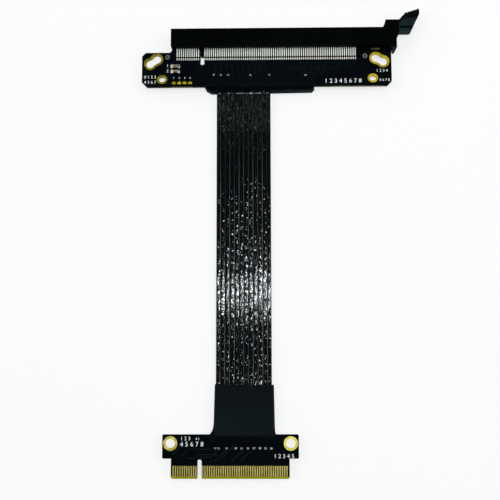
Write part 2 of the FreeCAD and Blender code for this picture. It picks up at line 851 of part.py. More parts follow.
# Two chip capacitors side by side, each a tan body between two tinned caps that stand in
# solder ramps.

def make_chips():
    face = value("slot_face")
    half, cap = value("chip_long") / 2, value("chip_cap")
    wide, high, solder = value("chip_wide") / 2, value("chip_high"), value("chip_solder")
    x = value("slot_first - chip_x")
    bodies, caps, ramps = [], [], []
    for number in range(2):
        y = value(f"slot_rear - chip_drop - {number} * chip_pitch")
        bodies.append(block(x - half + cap, x + half - cap, y - wide, y + wide, face, face + high))
        for side in (-1, 1):
            near, far = x + side * (half - cap), x + side * half
            caps.append(block(min(near, far), max(near, far), y - wide, y + wide, face, face + high))
            end = far + side * solder
            ramp = Part.makePolygon([
                Vector(far, y - wide * 1.4, face), Vector(end, y - wide * 1.4, face),
                Vector(end, y - wide * 1.4, face + 0.15), Vector(far, y - wide * 1.4, face + high * 0.7),
                Vector(far, y - wide * 1.4, face),
            ])
            ramps.append(Part.Face(ramp).extrude(Vector(0, wide * 2.8, 0)))
    free_piece("capacitor_bodies", bodies)
    free_piece("capacitor_caps", caps)
    free_piece("capacitor_solder", ramps)


make_chips()


# Hold-down clips: a small brass tab on each face, soldered at the housing's rear edge.

def make_clips():
    left = value("slot_last + clip_reach")
    high = value("slot_rear - board_clear")
    low = high - value("clip_length")
    thick = value("clip_thick")
    right = left + value("clip_width")
    face, back = value("slot_face"), value("slot_back")
    free_piece("hold_down_clips", [
        block(left, right, low, high, face, face + thick),
        block(left, right, low, high, back - thick, back),
    ])


make_clips()


# Edge board: ears with bolt holes, and a tab with a key notch and bevelled mating edge.

def make_edge_board():
    body = new_body("edge_board")
    outline = new_sketch(body, "XY_Plane", "edge_board_outline", "edge_board_low")
    draw_outline(outline, [
        ("edge_left", "ear_low"),
        ("tab_left", "ear_low"),
        ("tab_left", "tab_low + tab_corner"),
        ("tab_left + tab_corner", "tab_low"),
        ("tab_right - tab_corner", "tab_low"),
        ("tab_right", "tab_low + tab_corner"),
        ("tab_right", "ear_low"),
        ("edge_right", "ear_low"),
        ("edge_right", "edge_top"),
        ("edge_left", "edge_top"),
    ])
    laminate = pad(body, outline, "edge_board_laminate", "pcb_thick")
    round_upright(body, laminate, "ear_corners", [
        ("edge_left", "ear_low"), ("edge_right", "ear_low"),
        ("edge_left", "edge_top"), ("edge_right", "edge_top"),
    ], "corner_radius")

    notch = new_sketch(body, "XY_Plane", "tab_notch_outline", "edge_face")
    draw_box(notch, "key_centre - tab_notch / 2", "key_centre + tab_notch / 2",
             "tab_low - 1", "tab_low + tab_notch_high - tab_notch / 2")
    pocket(body, notch, "tab_notch_pocket", "pcb_thick")
    notch_end = new_sketch(body, "XY_Plane", "tab_notch_end", "edge_face")
    draw_circle(notch_end, "key_centre", "tab_low + tab_notch_high - tab_notch / 2", "tab_notch / 2")
    pocket(body, notch_end, "tab_notch_round", "pcb_thick")

    holes = new_sketch(body, "XY_Plane", "bolt_holes", "edge_face")
    for side in (-1, 1):
        draw_circle(holes, f"edge_middle + ({side}) * bolt_span / 2", "edge_top - bolt_drop",
                    "bolt_radius + plating_wall")
    pocket(body, holes, "bolt_hole_pocket", "pcb_thick")

    bevel = new_sketch(body, "YZ_Plane", "tab_bevel", "tab_left - 1")
    for outer, inner in (("edge_face", "edge_face - bevel_deep"),
                         ("edge_board_low", "edge_board_low + bevel_deep")):
        draw_outline(bevel, [("tab_low", inner), ("tab_low + bevel_long", outer), ("tab_low", outer)])
    pocket(body, bevel, "tab_bevel_pocket", "tab_right - tab_left + 2", backwards=True)


make_edge_board()


def make_fingers(name, bottom):
    pitch, half = value("pin_pitch"), value("finger_width") / 2
    copper = value("copper_thick")
    low, high = value("tab_low + bevel_long"), value("tab_low + finger_top")
    places = [value("slot_first") + pitch * number for number in range(int(value("short_row")))]
    places += [value("slot_long_start") + pitch * number for number in range(int(value("edge_row")))]
    free_piece(name, [block(x - half, x + half, low, high, bottom, bottom + copper) for x in places])


make_fingers("edge_fingers_front", value("edge_face"))
make_fingers("edge_fingers_back", value("edge_board_low - copper_thick"))


# Ribbon cables: two flat shielded cables stacked on each other. Each one follows a line of
# gentle bends. At the slot board it ends in a row of bare foil cells, out of which the inner
# conductors slant up to the board's back; the other ends lie hidden in the wrap.

BEND_SHARE = 0.45


def bent_path(points):
    """A wire of straight runs joined by tangent arcs, with the arcs' radii."""
    points = [Vector(*point) for point in points]
    edges, radii, start = [], [], points[0]
    for before, corner, after in zip(points, points[1:], points[2:]):
        inwards, onwards = (before - corner), (after - corner)
        reach = BEND_SHARE * min(inwards.Length, onwards.Length)
        turn = math.pi - inwards.getAngle(onwards)
        radius = reach / math.tan(turn / 2)
        radii.append(radius)
        first = corner + inwards.normalize() * reach
        last = corner + onwards.normalize() * reach
        towards = ((inwards + onwards) * 0.5).normalize()
        middle = corner + towards * (radius / math.cos(turn / 2) - radius)
        edges.append(Part.LineSegment(start, first).toShape())
        edges.append(Part.Arc(first, middle, last).toShape())
        start = last
    edges.append(Part.LineSegment(start, points[-1]).toShape())
    return Part.Wire(edges), radii


def ribbon_route(name):
    """Centre points of a ribbon from the slot board to the edge board."""
    if name == "ribbon_upper":
        start, end = value("board_low - upper_start"), value("edge_top - upper_end")
        return [(0, start, value("slot_back - upper_sink")), (0, start - 26.4, 2.35), (0, start - 64.4, 1.6),
                (0, start - 102.4, 1.6), (0, end + 25.2, 1.8), (0, end + 11.2, 3.15),
                (0, end, value("edge_face + ribbon_thick / 2 + ribbon_stand"))]
    start, end = value("board_low + lower_start"), value("edge_top - lower_end")
    return [(0, start, value("slot_back - lower_sink")), (0, start - 31.5, 1.35), (0, start - 69.5, 0.55),
            (0, start - 107.5, 0.5), (0, end + 21.9, 0.68),
            (0, end, value("edge_board_low - ribbon_thick / 2 - ribbon_stand"))]


def make_ribbon(name):
    route = ribbon_route(name)
    path, radii = bent_path(route)
    half, thick, cut = value("ribbon_width") / 2, value("ribbon_thick") / 2, value("ribbon_chamfer")
    outline = [(-half, 0), (-half + cut, -thick), (half - cut, -thick),
               (half, 0), (half - cut, thick), (-half + cut, thick)]
    start, following = Vector(*route[0]), Vector(*route[1])
    heading = (following - start).normalize()
    upwards = Vector(1, 0, 0).cross(heading).normalize()
    if upwards.z < 0:
        upwards = upwards * -1
    corners = [start + Vector(1, 0, 0) * across + upwards * up for across, up in outline]
    section = Part.makePolygon(corners + corners[:1])
    ribbon = path.makePipeShell([section], True, False)
    free_piece(name, [ribbon])
    area = 4 * half * thick - 2 * thick * cut
    print(name, "length", round(path.Length, 2), "smallest radius", round(min(radii), 1),
          "volume against section times length", round(ribbon.Volume / (area * path.Length), 5))


make_ribbon("ribbon_upper")
make_ribbon("ribbon_lower")


def cell_strips(width, profile):
    """One strip for each cell of a ribbon, from a closed outline of (y, z) corners."""
    count = int(value("ribbon_cells"))
    pitch = value("(ribbon_width - 2 * ribbon_margin) / ribbon_cells")
    strips = []
    for number in range(count):
        left = (number - (count - 1) / 2) * pitch - width / 2
        corners = [Vector(left, y, z) for y, z in profile]
        face = Part.Face(Part.makePolygon(corners + corners[:1]))
        strips.append(face.extrude(Vector(width, 0, 0)))
    return strips


def make_ribbon_end(row, bare, reach):
    """Bare foil cells, then conductors that slant up to the back of the slot board."""
    y, z = ribbon_route(f"ribbon_{row}")[0][1:]
    half, thick = value("shield_thick") / 2, value("wire_thick")
    cell = value("(ribbon_width - 2 * ribbon_margin) / ribbon_cells - shield_gap")
    foil_end, tip, back = y + bare, y + bare + reach, value("slot_back")
    free_piece(f"foil_ends_{row}", cell_strips(cell, [
        (y, z - half), (foil_end, z - half), (foil_end, z + half), (y, z + half)]))
    free_piece(f"conductors_{row}", cell_strips(value("wire_width"), [
        (foil_end, z - thick / 2), (tip, back - thick), (tip, back), (foil_end, z + thick / 2)]))


make_ribbon_end("upper", value("upper_bare"), value("upper_reach"))
make_ribbon_end("lower", value("lower_bare"), value("lower_reach"))


# Films: dark tape over the ribbons' roots on the front of the slot board, and a backing film
# that closes the space behind them.

def trim_corner(body, name, corners):
    sketch = new_sketch(body, "XY_Plane", name)
    draw_outline(sketch, corners)
    pocket(body, sketch, name + "_cut", midplane=True)


def round_off(body, name, low):
    """Takes the lower left corner off a film, as scissors leave it."""
    trim_corner(body, name, [
        ("film_left - film_corner", low),
        ("film_left - film_corner", f"{low} + film_corner"),
        ("film_left", f"{low} + film_corner"),
        ("film_left + 0.3 * film_corner", f"{low} + 0.4 * film_corner"),
        ("film_left + film_corner", low),
        ("film_left + film_corner", f"{low} - film_corner"),
        ("film_left", f"{low} - film_corner"),
    ])


def make_films():
    front = new_body("front_film")
    profile = new_sketch(front, "YZ_Plane", "front_film_profile", "film_left")
    draw_outline(profile, [
        ("slot_rear - film_top", "slot_face"),
        ("board_low", "slot_face"),
        ("board_low - film_lap", "slot_back + film_hang"),
        ("board_low - film_lap", "slot_back + film_hang + 1.4 * film_thick"),
        ("board_low - 0.4 * film_thick", "slot_face + film_thick"),
        ("slot_rear - film_top", "slot_face + film_thick"),
    ])
    pad(front, profile, "front_film_sheet", "film_width")
    trim_corner(front, "front_film_skew", [
        ("film_left + film_width / 4", "board_low - film_lap"),
        ("film_left + film_width - film_round", "board_low - film_lap + film_skew"),
        ("film_left + film_width + film_round", "board_low - film_lap + film_skew + 2 * film_round"),
        ("film_left + film_width + film_round", "board_low - film_lap - film_round"),
        ("film_left + film_width / 4", "board_low - film_lap - film_round"),
    ])
    round_off(front, "front_film_corner", "board_low - film_lap")

    backing = new_body("backing_film")
    profile = new_sketch(backing, "YZ_Plane", "backing_film_profile", "film_left")
    draw_outline(profile, [
        ("slot_rear - backing_top", "slot_back"),
        ("slot_rear - backing_top", "slot_back - film_thick"),
        ("slot_rear - backing_top - backing_flat", "slot_back - film_thick"),
        ("slot_rear - backing_top - backing_flat - backing_slant", "backing_low"),
        ("board_low - backing_lap", "backing_low"),
        ("board_low - backing_lap", "backing_low + film_thick"),
        ("slot_rear - backing_top - backing_flat - backing_slant + 0.6 * film_thick", "backing_low + film_thick"),
        ("slot_rear - backing_top - backing_flat + 0.6 * film_thick", "slot_back"),
    ])
    pad(backing, profile, "backing_film_sheet", "film_width")
    trim_corner(backing, "backing_film_skew", [
        ("film_left + film_width / 4", "board_low - backing_lap"),
        ("film_left + film_width - film_round", "board_low - backing_lap + backing_skew"),
        ("film_left + film_width + film_round", "board_low - backing_lap + backing_skew + 2 * film_round"),
        ("film_left + film_width + film_round", "board_low - backing_lap - film_round"),
        ("film_left + film_width / 4", "board_low - backing_lap - film_round"),
    ])
    round_off(backing, "backing_film_corner", "board_low - backing_lap")


make_films()


# Edge wrap: a thin sleeve round the ribbons' other roots. It lies on the ground, and its two
# flaps close on the faces of the edge board.

def make_wrap():
    body = new_body("edge_wrap")
    outside = new_sketch(body, "YZ_Plane", "wrap_outside")
    draw_outline(outside, [
        ("wrap_top", "0"),
        ("wrap_top", "wrap_start_high"),
        ("wrap_top - wrap_rise_run", "wrap_full_high"),
        ("wrap_low + flap_run", "wrap_full_high"),
        ("wrap_low", "edge_face + flap_thick"),
        ("wrap_low", "edge_board_low - flap_thick"),
        ("wrap_low + flap_run", "0"),
    ])
    pad(body, outside, "wrap_sleeve", "wrap_width", midplane=True)

    inside = new_sketch(body, "YZ_Plane", "wrap_inside")
    draw_outline(inside, [
        ("wrap_top + 1", "wrap_wall"),
        ("wrap_top + 1", "wrap_start_high - wrap_wall"),
        ("wrap_top", "wrap_start_high - wrap_wall"),
        ("wrap_top - wrap_rise_run", "wrap_full_high - wrap_wall"),
        ("wrap_low + flap_run", "wrap_full_high - wrap_wall"),
        ("wrap_low", "edge_face"),
        ("wrap_low - 1", "edge_face"),
        ("wrap_low - 1", "edge_board_low"),
        ("wrap_low", "edge_board_low"),
        ("wrap_low + flap_run", "wrap_wall"),
    ])
    pocket(body, inside, "wrap_hollow", "wrap_width - 2 * wrap_wall", midplane=True)

    side, spare = "wrap_width / 2", "(web_left - wrap_width / 2)"
    for face, lift in (("upper", "edge_face"), ("lower", "edge_board_low - flap_thick")):
        webs = new_sketch(body, "XY_Plane", f"wrap_{face}_webs", lift)
        draw_outline(webs, [
            ("-web_left", "wrap_low"),
            ("wrap_wall - " + side, "wrap_low"),
            ("wrap_wall - " + side, "edge_top + web_rise"),
            ("-" + side, "edge_top + web_rise"),
            ("-web_left + 0.7 * " + spare, "edge_top + 0.4 * web_rise"),
            ("-web_left + 0.3 * " + spare, "edge_top + 0.15 * web_rise"),
            ("-web_left", "edge_top"),
        ])
        draw_outline(webs, [
            (side + " - wrap_wall", "wrap_low"),
            ("web_right", "wrap_low"),
            ("web_right", "edge_top"),
            (side, "edge_top + 0.4 * web_rise"),
            (side + " - wrap_wall", "edge_top + 0.4 * web_rise"),
        ])
        pad(body, webs, f"wrap_{face}_web_pads", "flap_thick")

    slits = new_sketch(body, "YZ_Plane", "wrap_slits")
    draw_box(slits, "wrap_low - 1", "edge_top + flap_clear",
             "edge_board_low - flap_clear", "edge_face + flap_clear")
    pocket(body, slits, "wrap_side_slits", "2 * web_left + wrap_wall", midplane=True)


make_wrap()


# Every feature must have built, and every piece must be sound, before it is written out.

doc.recompute()
faults = [item.Name for item in doc.Objects if "Invalid" in item.State or "Error" in item.State]
if faults:
    raise RuntimeError("features did not build: " + ", ".join(faults))

os.makedirs("parts", exist_ok=True)
facets = 0
for name, piece in PIECES.items():
    shape = piece.Shape
    if shape.isNull() or not shape.isValid() or not shape.Solids:
        raise RuntimeError("piece is not a sound solid: " + name)
    if min(solid.Volume for solid in shape.Solids) <= 0:
        raise RuntimeError("piece has an empty solid: " + name)
    shape.exportStep(f"parts/{name}.step")
    box = shape.BoundBox
    count = len(shape.tessellate(0.1)[1])
    facets += count
    print(f"{name:22s} solids {len(shape.Solids):4d} facets {count:6d} "
          f"x {box.XMin:8.2f} {box.XMax:8.2f} y {box.YMin:8.2f} {box.YMax:8.2f} z {box.ZMin:6.2f} {box.ZMax:6.2f}")
print("pieces", len(PIECES), "facets", facets)
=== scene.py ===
import math

import bmesh
import bpy
from mathutils import Matrix, Vector, noise


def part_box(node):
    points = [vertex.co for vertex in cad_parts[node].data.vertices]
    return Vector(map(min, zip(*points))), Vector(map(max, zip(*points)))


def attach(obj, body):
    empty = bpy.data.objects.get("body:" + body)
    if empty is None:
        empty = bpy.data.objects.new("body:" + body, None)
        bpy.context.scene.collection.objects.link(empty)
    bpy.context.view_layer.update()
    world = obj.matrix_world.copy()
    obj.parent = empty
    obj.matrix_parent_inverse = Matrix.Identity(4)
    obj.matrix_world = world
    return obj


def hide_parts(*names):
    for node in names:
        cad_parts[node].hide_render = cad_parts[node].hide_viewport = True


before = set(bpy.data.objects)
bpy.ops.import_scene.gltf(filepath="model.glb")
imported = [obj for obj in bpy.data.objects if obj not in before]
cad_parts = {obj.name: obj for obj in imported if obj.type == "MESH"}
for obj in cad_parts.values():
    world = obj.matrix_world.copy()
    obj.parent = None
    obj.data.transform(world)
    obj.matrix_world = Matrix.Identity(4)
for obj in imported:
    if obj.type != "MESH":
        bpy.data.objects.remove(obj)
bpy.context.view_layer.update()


# Table and studio light. The cable lies flat on a plain white table top. A narrow lamp hangs
# overhead and draws the bright band across the ribbons; wide soft lamps stand at the sides.

scene = bpy.context.scene
scene.view_settings.view_transform = "Standard"


def add_object(name, mesh):
    """An object at the origin that shows this mesh."""
    piece = bpy.data.objects.new(name, mesh)
    scene.collection.objects.link(piece)
    return piece


def feed(node, *sources, **named):
    """Gives a node's inputs, in order or by name, a plain value or the socket that drives them."""
    inputs = list(zip(node.inputs, sources))
    inputs += [(node.inputs[name.replace("_", " ")], source) for name, source in named.items()]
    for socket, source in inputs:
        if isinstance(source, bpy.types.NodeSocket):
            node.id_data.links.new(source, socket)
        else:
            socket.default_value = source
    return node


def add_node(tree, kind, *sources, operation=None, **named):
    """A node with its inputs fed, where underscores in their names stand for spaces."""
    node = tree.nodes.new(kind)
    if operation:
        node.operation = operation
    return feed(node, *sources, **named)


def calculate(tree, operation, *sources):
    """A Math node on sockets or numbers."""
    return add_node(tree, "ShaderNodeMath", *sources, operation=operation).outputs[0]


TABLE_HALF, TABLE_TOP = 3.0, -5e-5
TABLE_GLOW = 0.72

table_mesh = bpy.data.meshes.new("table_top")
corners = [(x * TABLE_HALF, y * TABLE_HALF, TABLE_TOP) for x, y in ((-1, -1), (1, -1), (1, 1), (-1, 1))]
table_mesh.from_pydata(corners, [], [(0, 1, 2, 3)])
table = add_object("table_top", table_mesh)
table_paint = bpy.data.materials.new("table_white")
table_paint.use_nodes = True
tree = table_paint.node_tree
board_white = feed(tree.nodes["Principled BSDF"], Base_Color=(0.95, 0.95, 0.95, 1), Roughness=0.9,
                   Specular_IOR_Level=0.1)
rays = tree.nodes.new("ShaderNodeLightPath").outputs
seen_or_mirrored = calculate(tree, "MAXIMUM", rays["Is Camera Ray"], rays["Is Glossy Ray"])
seen_at_all = calculate(tree, "MAXIMUM", seen_or_mirrored, rays["Is Transmission Ray"])
share = calculate(tree, "MULTIPLY", seen_at_all, TABLE_GLOW)
plain_white = add_node(tree, "ShaderNodeEmission", Color=(1, 1, 1, 1), Strength=1)
blend_white = add_node(tree, "ShaderNodeMixShader", share, board_white.outputs[0], plain_white.outputs[0])
feed(tree.nodes["Material Output"], Surface=blend_white.outputs[0])
table_mesh.materials.append(table_paint)

world = bpy.data.worlds.new("studio")
world.use_nodes = True
feed(world.node_tree.nodes["Background"], Color=(0.82, 0.96, 1, 1), Strength=0.14)
scene.world = world


def add_lamp(name, place, aim, wide, deep, power, colour=(1, 1, 1)):
    """A rectangular soft lamp at one place that faces another."""
    lamp = bpy.data.lights.new(name, "AREA")
    lamp.shape = "RECTANGLE"
    lamp.size = wide
    lamp.size_y = deep
    lamp.energy = power
    lamp.color = colour
    stand = bpy.data.objects.new(name, lamp)
    stand.location = place
    stand.rotation_euler = (Vector(aim) - Vector(place)).to_track_quat("-Z", "Y").to_euler()
    scene.collection.objects.link(stand)


add_lamp("lamp_overhead", (0.075, -0.052, 0.8), (0.075, -0.112, 0.0), 0.3, 0.010, 1.8, (0.93, 0.97, 1.0))
add_lamp("lamp_far_strip", (0.04, 0.365, 0.8), (0.04, -0.03, 0.0), 0.3, 0.03, 0.22, (0.78, 1.0, 0.97))
add_lamp("lamp_root", (0.03, 0.19, 0.8), (0.03, -0.04, 0.0), 0.3, 0.005, 0.06, (0.7, 1.0, 0.92))
add_lamp("lamp_left", (-0.95, 0.15, 0.68), (0.0, -0.09, 0.0), 0.9, 1.0, 6.6)
add_lamp("lamp_right", (1.0, -0.05, 0.68), (0.0, -0.09, 0.0), 0.9, 1.0, 6.6)
add_lamp("lamp_behind_slot", (0.1, 0.95, 0.6), (0.0, -0.02, 0.0), 0.9, 0.5, 3.4)

CAMERA_TURNS = (-7.70, -1.03, 0.09)
CAMERA_SHIFT = (-0.00296, 0.09785, -0.400)

camera_lens = bpy.data.cameras.new("camera")
camera_lens.sensor_width = 36
camera_lens.lens = 60.88
camera_lens.clip_start = 0.01
camera = bpy.data.objects.new("camera", camera_lens)
turns = [Matrix.Rotation(math.radians(turn), 4, axis) for turn, axis in zip(CAMERA_TURNS, "XYZ")]
camera.matrix_world = (Matrix.Translation(CAMERA_SHIFT) @ (turns[0] @ turns[1] @ turns[2])).inverted()
scene.collection.objects.link(camera)
scene.camera = camera


# Ribbon jackets: each ribbon is twelve shielded pairs side by side, sealed between two black
# glossy films. The film lies crinkled over each pair and is bonded down between them.

MM = 0.001


def new_finish(name, **values):
    """A material with plain values on its shader."""
    finish = bpy.data.materials.new(name)
    finish.use_nodes = True
    return finish, finish.node_tree, feed(finish.node_tree.nodes["Principled BSDF"], **values)


def new_effect(name, numbers, results):
    """An empty group of shader nodes with number inputs and the named results."""
    effect = bpy.data.node_groups.new(name, "ShaderNodeTree")
    for label, default in numbers:
        number = effect.interface.new_socket(label, in_out="INPUT", socket_type="NodeSocketFloat")
        number.default_value = default
    for label in results:
        kind = "NodeSocketVector" if label == "Normal" else "NodeSocketFloat"
        effect.interface.new_socket(label, in_out="OUTPUT", socket_type=kind)
    return effect, effect.nodes.new("NodeGroupInput").outputs, effect.nodes.new("NodeGroupOutput")


def use_effect(tree, effect, **values):
    """What the effect gives in a material that has it with its own values."""
    node = tree.nodes.new("ShaderNodeGroup")
    node.node_tree = effect
    return feed(node, **values).outputs


def read_place(tree, reading="Object"):
    """Where a point lies on the object, or with "Normal" how it faces."""
    return tree.nodes.new("ShaderNodeTexCoord").outputs[reading]


def take_apart(tree, vector):
    """The X, Y and Z of a vector."""
    return add_node(tree, "ShaderNodeSeparateXYZ", vector).outputs


def calculate_vector(tree, operation, *vectors, **scale):
    """A Vector Math node on sockets or plain vectors."""
    return add_node(tree, "ShaderNodeVectorMath", *vectors, operation=operation, **scale).outputs[0]


def distance_from(tree, value, middle):
    """How far a value is from a middle, on either side."""
    return calculate(tree, "ABSOLUTE", calculate(tree, "SUBTRACT", value, middle))


def blend_colours(tree, share, first, second):
    """A mix of two colours, each a socket or plain numbers, by a share."""
    node = tree.nodes.new("ShaderNodeMix")
    node.data_type = "RGBA"
    feed(node, share)
    for socket, colour in zip(node.inputs[6:8], (first, second)):
        if isinstance(colour, tuple):
            socket.default_value = (*colour, 1)
        else:
            tree.links.new(colour, socket)
    return node.outputs[2]


def spread(tree, value, low, high, to_low=0.0, to_high=1.0):
    """A value taken from one range to another and held inside it."""
    taken = add_node(tree, "ShaderNodeMapRange", Value=value, From_Min=low, From_Max=high,
                     To_Min=to_low, To_Max=to_high)
    return taken.outputs["Result"]


def mottle(tree, place, scale, **values):
    """A cloudy pattern, 0 to 1, over a place."""
    return add_node(tree, "ShaderNodeTexNoise", Vector=place, Scale=scale, **values).outputs["Fac"]


def draw_value(tree, number):
    """A value, 0 to 1, that is random but always the same for a number."""
    drawn_lot = tree.nodes.new("ShaderNodeTexWhiteNoise")
    drawn_lot.noise_dimensions = "1D"
    return feed(drawn_lot, W=number).outputs["Value"]


def raise_bumps(tree, shader, height, depth, **under):
    """Feeds a height, 0 to 1, to the shader's normal as relief of that depth in metres."""
    bump = add_node(tree, "ShaderNodeBump", Strength=1.0, Distance=depth, Height=height, **under)
    feed(shader, Normal=bump.outputs["Normal"])


# crinkled film: small flat facets, most of them leaning by less than half of Lean; the ninth
# power of a lean picks out the few that stand up far more
STEEP_FACETS = 640

crinkle, start, end = new_effect(
    "crinkled_film", [("Grain", 900.0), ("Stretch", 0.6), ("Lean", 0.12)], ["Normal", "Crease", "Scuff"])
place = read_place(crinkle)
squeeze = add_node(crinkle, "ShaderNodeCombineXYZ", 1.0, start["Stretch"], 1.0)
stretched = calculate_vector(crinkle, "MULTIPLY", place, squeeze.outputs[0])
facets = add_node(crinkle, "ShaderNodeTexVoronoi", Vector=stretched, Scale=start["Grain"])
leaning = calculate_vector(crinkle, "SUBTRACT", facets.outputs["Color"], (0.5, 0.5, 0.5))
steep = leaning
for cube in range(2):
    base = steep
    for factor in range(2):
        steep = calculate_vector(crinkle, "MULTIPLY", steep, base)
bent = calculate_vector(crinkle, "MULTIPLY_ADD", steep, (STEEP_FACETS,) * 3, leaning)
steepness = add_node(crinkle, "ShaderNodeVectorMath", bent, operation="LENGTH").outputs["Value"]
surface = crinkle.nodes.new("ShaderNodeNewGeometry")
scaled = calculate_vector(crinkle, "SCALE", bent, Scale=start["Lean"])
turned = calculate_vector(crinkle, "ADD", surface.outputs["Normal"], scaled)
broad = mottle(crinkle, place, 140.0, Detail=4.0, Roughness=0.65)
feed(end, Normal=calculate_vector(crinkle, "NORMALIZE", turned), Crease=spread(crinkle, steepness, 0.8, 1.7),
     Scuff=spread(crinkle, broad, 0.42, 0.68))

CELL_PITCH = 2.13 * MM
RIBBON_HALF = 12.5 * MM
RIBBON_RISE = 0.43 * MM
FOIL_PITCH = 3.85 * MM
FOIL_SLANT = 0.45
FOIL_EDGE = 0.93
FOIL_RIDGE = 0.026 * MM
CROWN = 0.58
LOTS_APART = 37.3

# each pair has a foil wound round it, whose edge shows through the film as a slanting ridge
jacket_film, tree, shader = new_finish("ribbon_jacket_film", Specular_IOR_Level=0.2)
where = take_apart(tree, read_place(tree))
lean_here = spread(tree, where["Y"], -60 * MM, -100 * MM, 0.044, 0.036)
film = use_effect(tree, crinkle, Grain=3300.0, Stretch=0.75, Lean=lean_here)
cells = calculate(tree, "DIVIDE", where["X"], CELL_PITCH)
cell_number = calculate(tree, "FLOOR", cells)
slant = calculate(tree, "MULTIPLY", cells, FOIL_SLANT)
turns = calculate(tree, "ADD", calculate(tree, "DIVIDE", where["Y"], FOIL_PITCH), slant)
wound = calculate(tree, "ADD", turns, draw_value(tree, cell_number))
turn_share = calculate(tree, "FRACT", wound)
foil_edge = calculate(tree, "SUBTRACT", spread(tree, turn_share, 0.0, FOIL_EDGE),
                      spread(tree, turn_share, FOIL_EDGE, 1.0))
turn_number = calculate(tree, "ADD", calculate(tree, "FLOOR", wound),
                        calculate(tree, "MULTIPLY", cell_number, LOTS_APART))
off_crown = distance_from(tree, calculate(tree, "FRACT", cells), CROWN)
on_crown = calculate(tree, "MULTIPLY", spread(tree, off_crown, 0.24, 0.1),
                     spread(tree, draw_value(tree, turn_number), 0.1, 0.9))
raise_bumps(tree, shader, calculate(tree, "MULTIPLY", foil_edge, on_crown), FOIL_RIDGE, Normal=film["Normal"])
feed(shader, Roughness=spread(tree, film["Crease"], 0, 1, 0.04, 0.11),
     Base_Color=blend_colours(tree, film["Scuff"], (0.0004, 0.0007, 0.001), (0.001, 0.0018, 0.0022)))


def read_route(name, points):
    """A smooth line on the route's points, and the points that it passes through."""
    line = bpy.data.curves.new(name, "CURVE")
    line.dimensions = "3D"
    line.resolution_u = 64
    spline = line.splines.new("NURBS")
    spline.points.add(len(points) - 1)
    for point, (y, z) in zip(spline.points, points):
        point.co = (0, y * MM, z * MM, 1)
    spline.order_u = 3
    spline.use_endpoint_u = True
    holder = add_object(name, line)
    bpy.context.view_layer.update()
    drawn = bpy.data.meshes.new_from_object(holder)
    passed = [vertex.co.copy() for vertex in drawn.vertices]
    bpy.data.meshes.remove(drawn)
    return holder, passed


def cell_height(across, along, seed):
    """How far the film stands off the ribbon's middle at a place on it."""
    cell = (across / CELL_PITCH + 6) % 1.0
    edge = min(1.0, (RIBBON_HALF - abs(across)) / (0.5 * MM))
    crown = (1 - abs(2 * cell - 1) ** 4) * math.sqrt(max(edge, 0))
    sway = noise.noise(Vector((across * 90, along * 40, seed)))
    return RIBBON_RISE * (0.5 + 0.17 * crown + 0.008 * sway * crown)


def make_jacket(name, passed, steps, seed):
    """A closed flat tube along the line, pillowed over each pair and sealed between them."""
    lengths = [0.0]
    for before, after in zip(passed, passed[1:]):
        lengths.append(lengths[-1] + (after - before).length)
    in_cell = (-1, -0.93, -0.82, -0.62, -0.3, 0, 0.3, 0.62, 0.82, 0.93)
    spots = [(cell + 0.5 + 0.5 * share) * CELL_PITCH for cell in range(-6, 6) for share in in_cell]
    across_top = [-RIBBON_HALF] + [x for x in spots if abs(x) < RIBBON_HALF - 0.05 * MM] + [RIBBON_HALF]
    across_low = [across_top[-1]] + across_top[-2:0:-4] + [across_top[0]]
    rings, faces, at = [], [], 0
    for step in range(steps + 1):
        goal = lengths[-1] * step / steps
        while at < len(passed) - 2 and lengths[at + 1] < goal:
            at += 1
        share = (goal - lengths[at]) / (lengths[at + 1] - lengths[at])
        middle = passed[at].lerp(passed[at + 1], share)
        heading = (passed[at + 1] - passed[at]).normalized()
        upward = Vector((1, 0, 0)).cross(heading)
        upward = upward if upward.z > 0 else -upward
        for across in across_top:
            lift = cell_height(across, goal, seed) if 0 < abs(RIBBON_HALF - abs(across)) else 0.0
            rings.append(middle + Vector((across, 0, 0)) + upward * lift)
        for across in across_low[1:-1]:
            rings.append(middle + Vector((across, 0, 0)) - upward * cell_height(across, goal, seed + 30))
    around = len(across_top) + len(across_low) - 2
    for step in range(steps):
        for i in range(around):
            a, b = step * around + i, step * around + (i + 1) % around
            faces.append((a, a + around, b + around, b))
    faces.append(tuple(range(around)))
    faces.append(tuple(steps * around + i for i in reversed(range(around))))
    mesh = bpy.data.meshes.new(name)
    mesh.from_pydata(rings, [], faces)
    shell = bmesh.new()
    shell.from_mesh(mesh)
    bmesh.ops.recalc_face_normals(shell, faces=shell.faces)
    shell.to_mesh(mesh)
    shell.free()
    mesh.shade_smooth()
    mesh.materials.append(jacket_film)
    return add_object(name, mesh)


upper_line, upper_passed = read_route("route_upper", [
    (-25.6, 2.5), (-52, 2.35), (-90, 1.6), (-128, 1.6), (-159, 1.64), (-171, 3.15), (-182.2, 3.35)])
upper_jacket = make_jacket("ribbon_upper_jacket", upper_passed, steps=420, seed=11)
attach(upper_jacket, "extension")
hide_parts("ribbon_upper")

lower_line, lower_passed = read_route("route_lower", [
    (-20.5, 1.55), (-52, 1.35), (-90, 0.55), (-128, 0.5), (-160, 0.68), (-181.9, 0.75)])
lower_jacket = make_jacket("ribbon_lower_jacket", lower_passed, steps=220, seed=53)
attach(lower_jacket, "extension")
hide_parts("ribbon_lower")


# Bonded seams between the pairs: where the two films are welded together they stand up as a
# fine matt rib, eleven on each face of a ribbon, along its whole length.

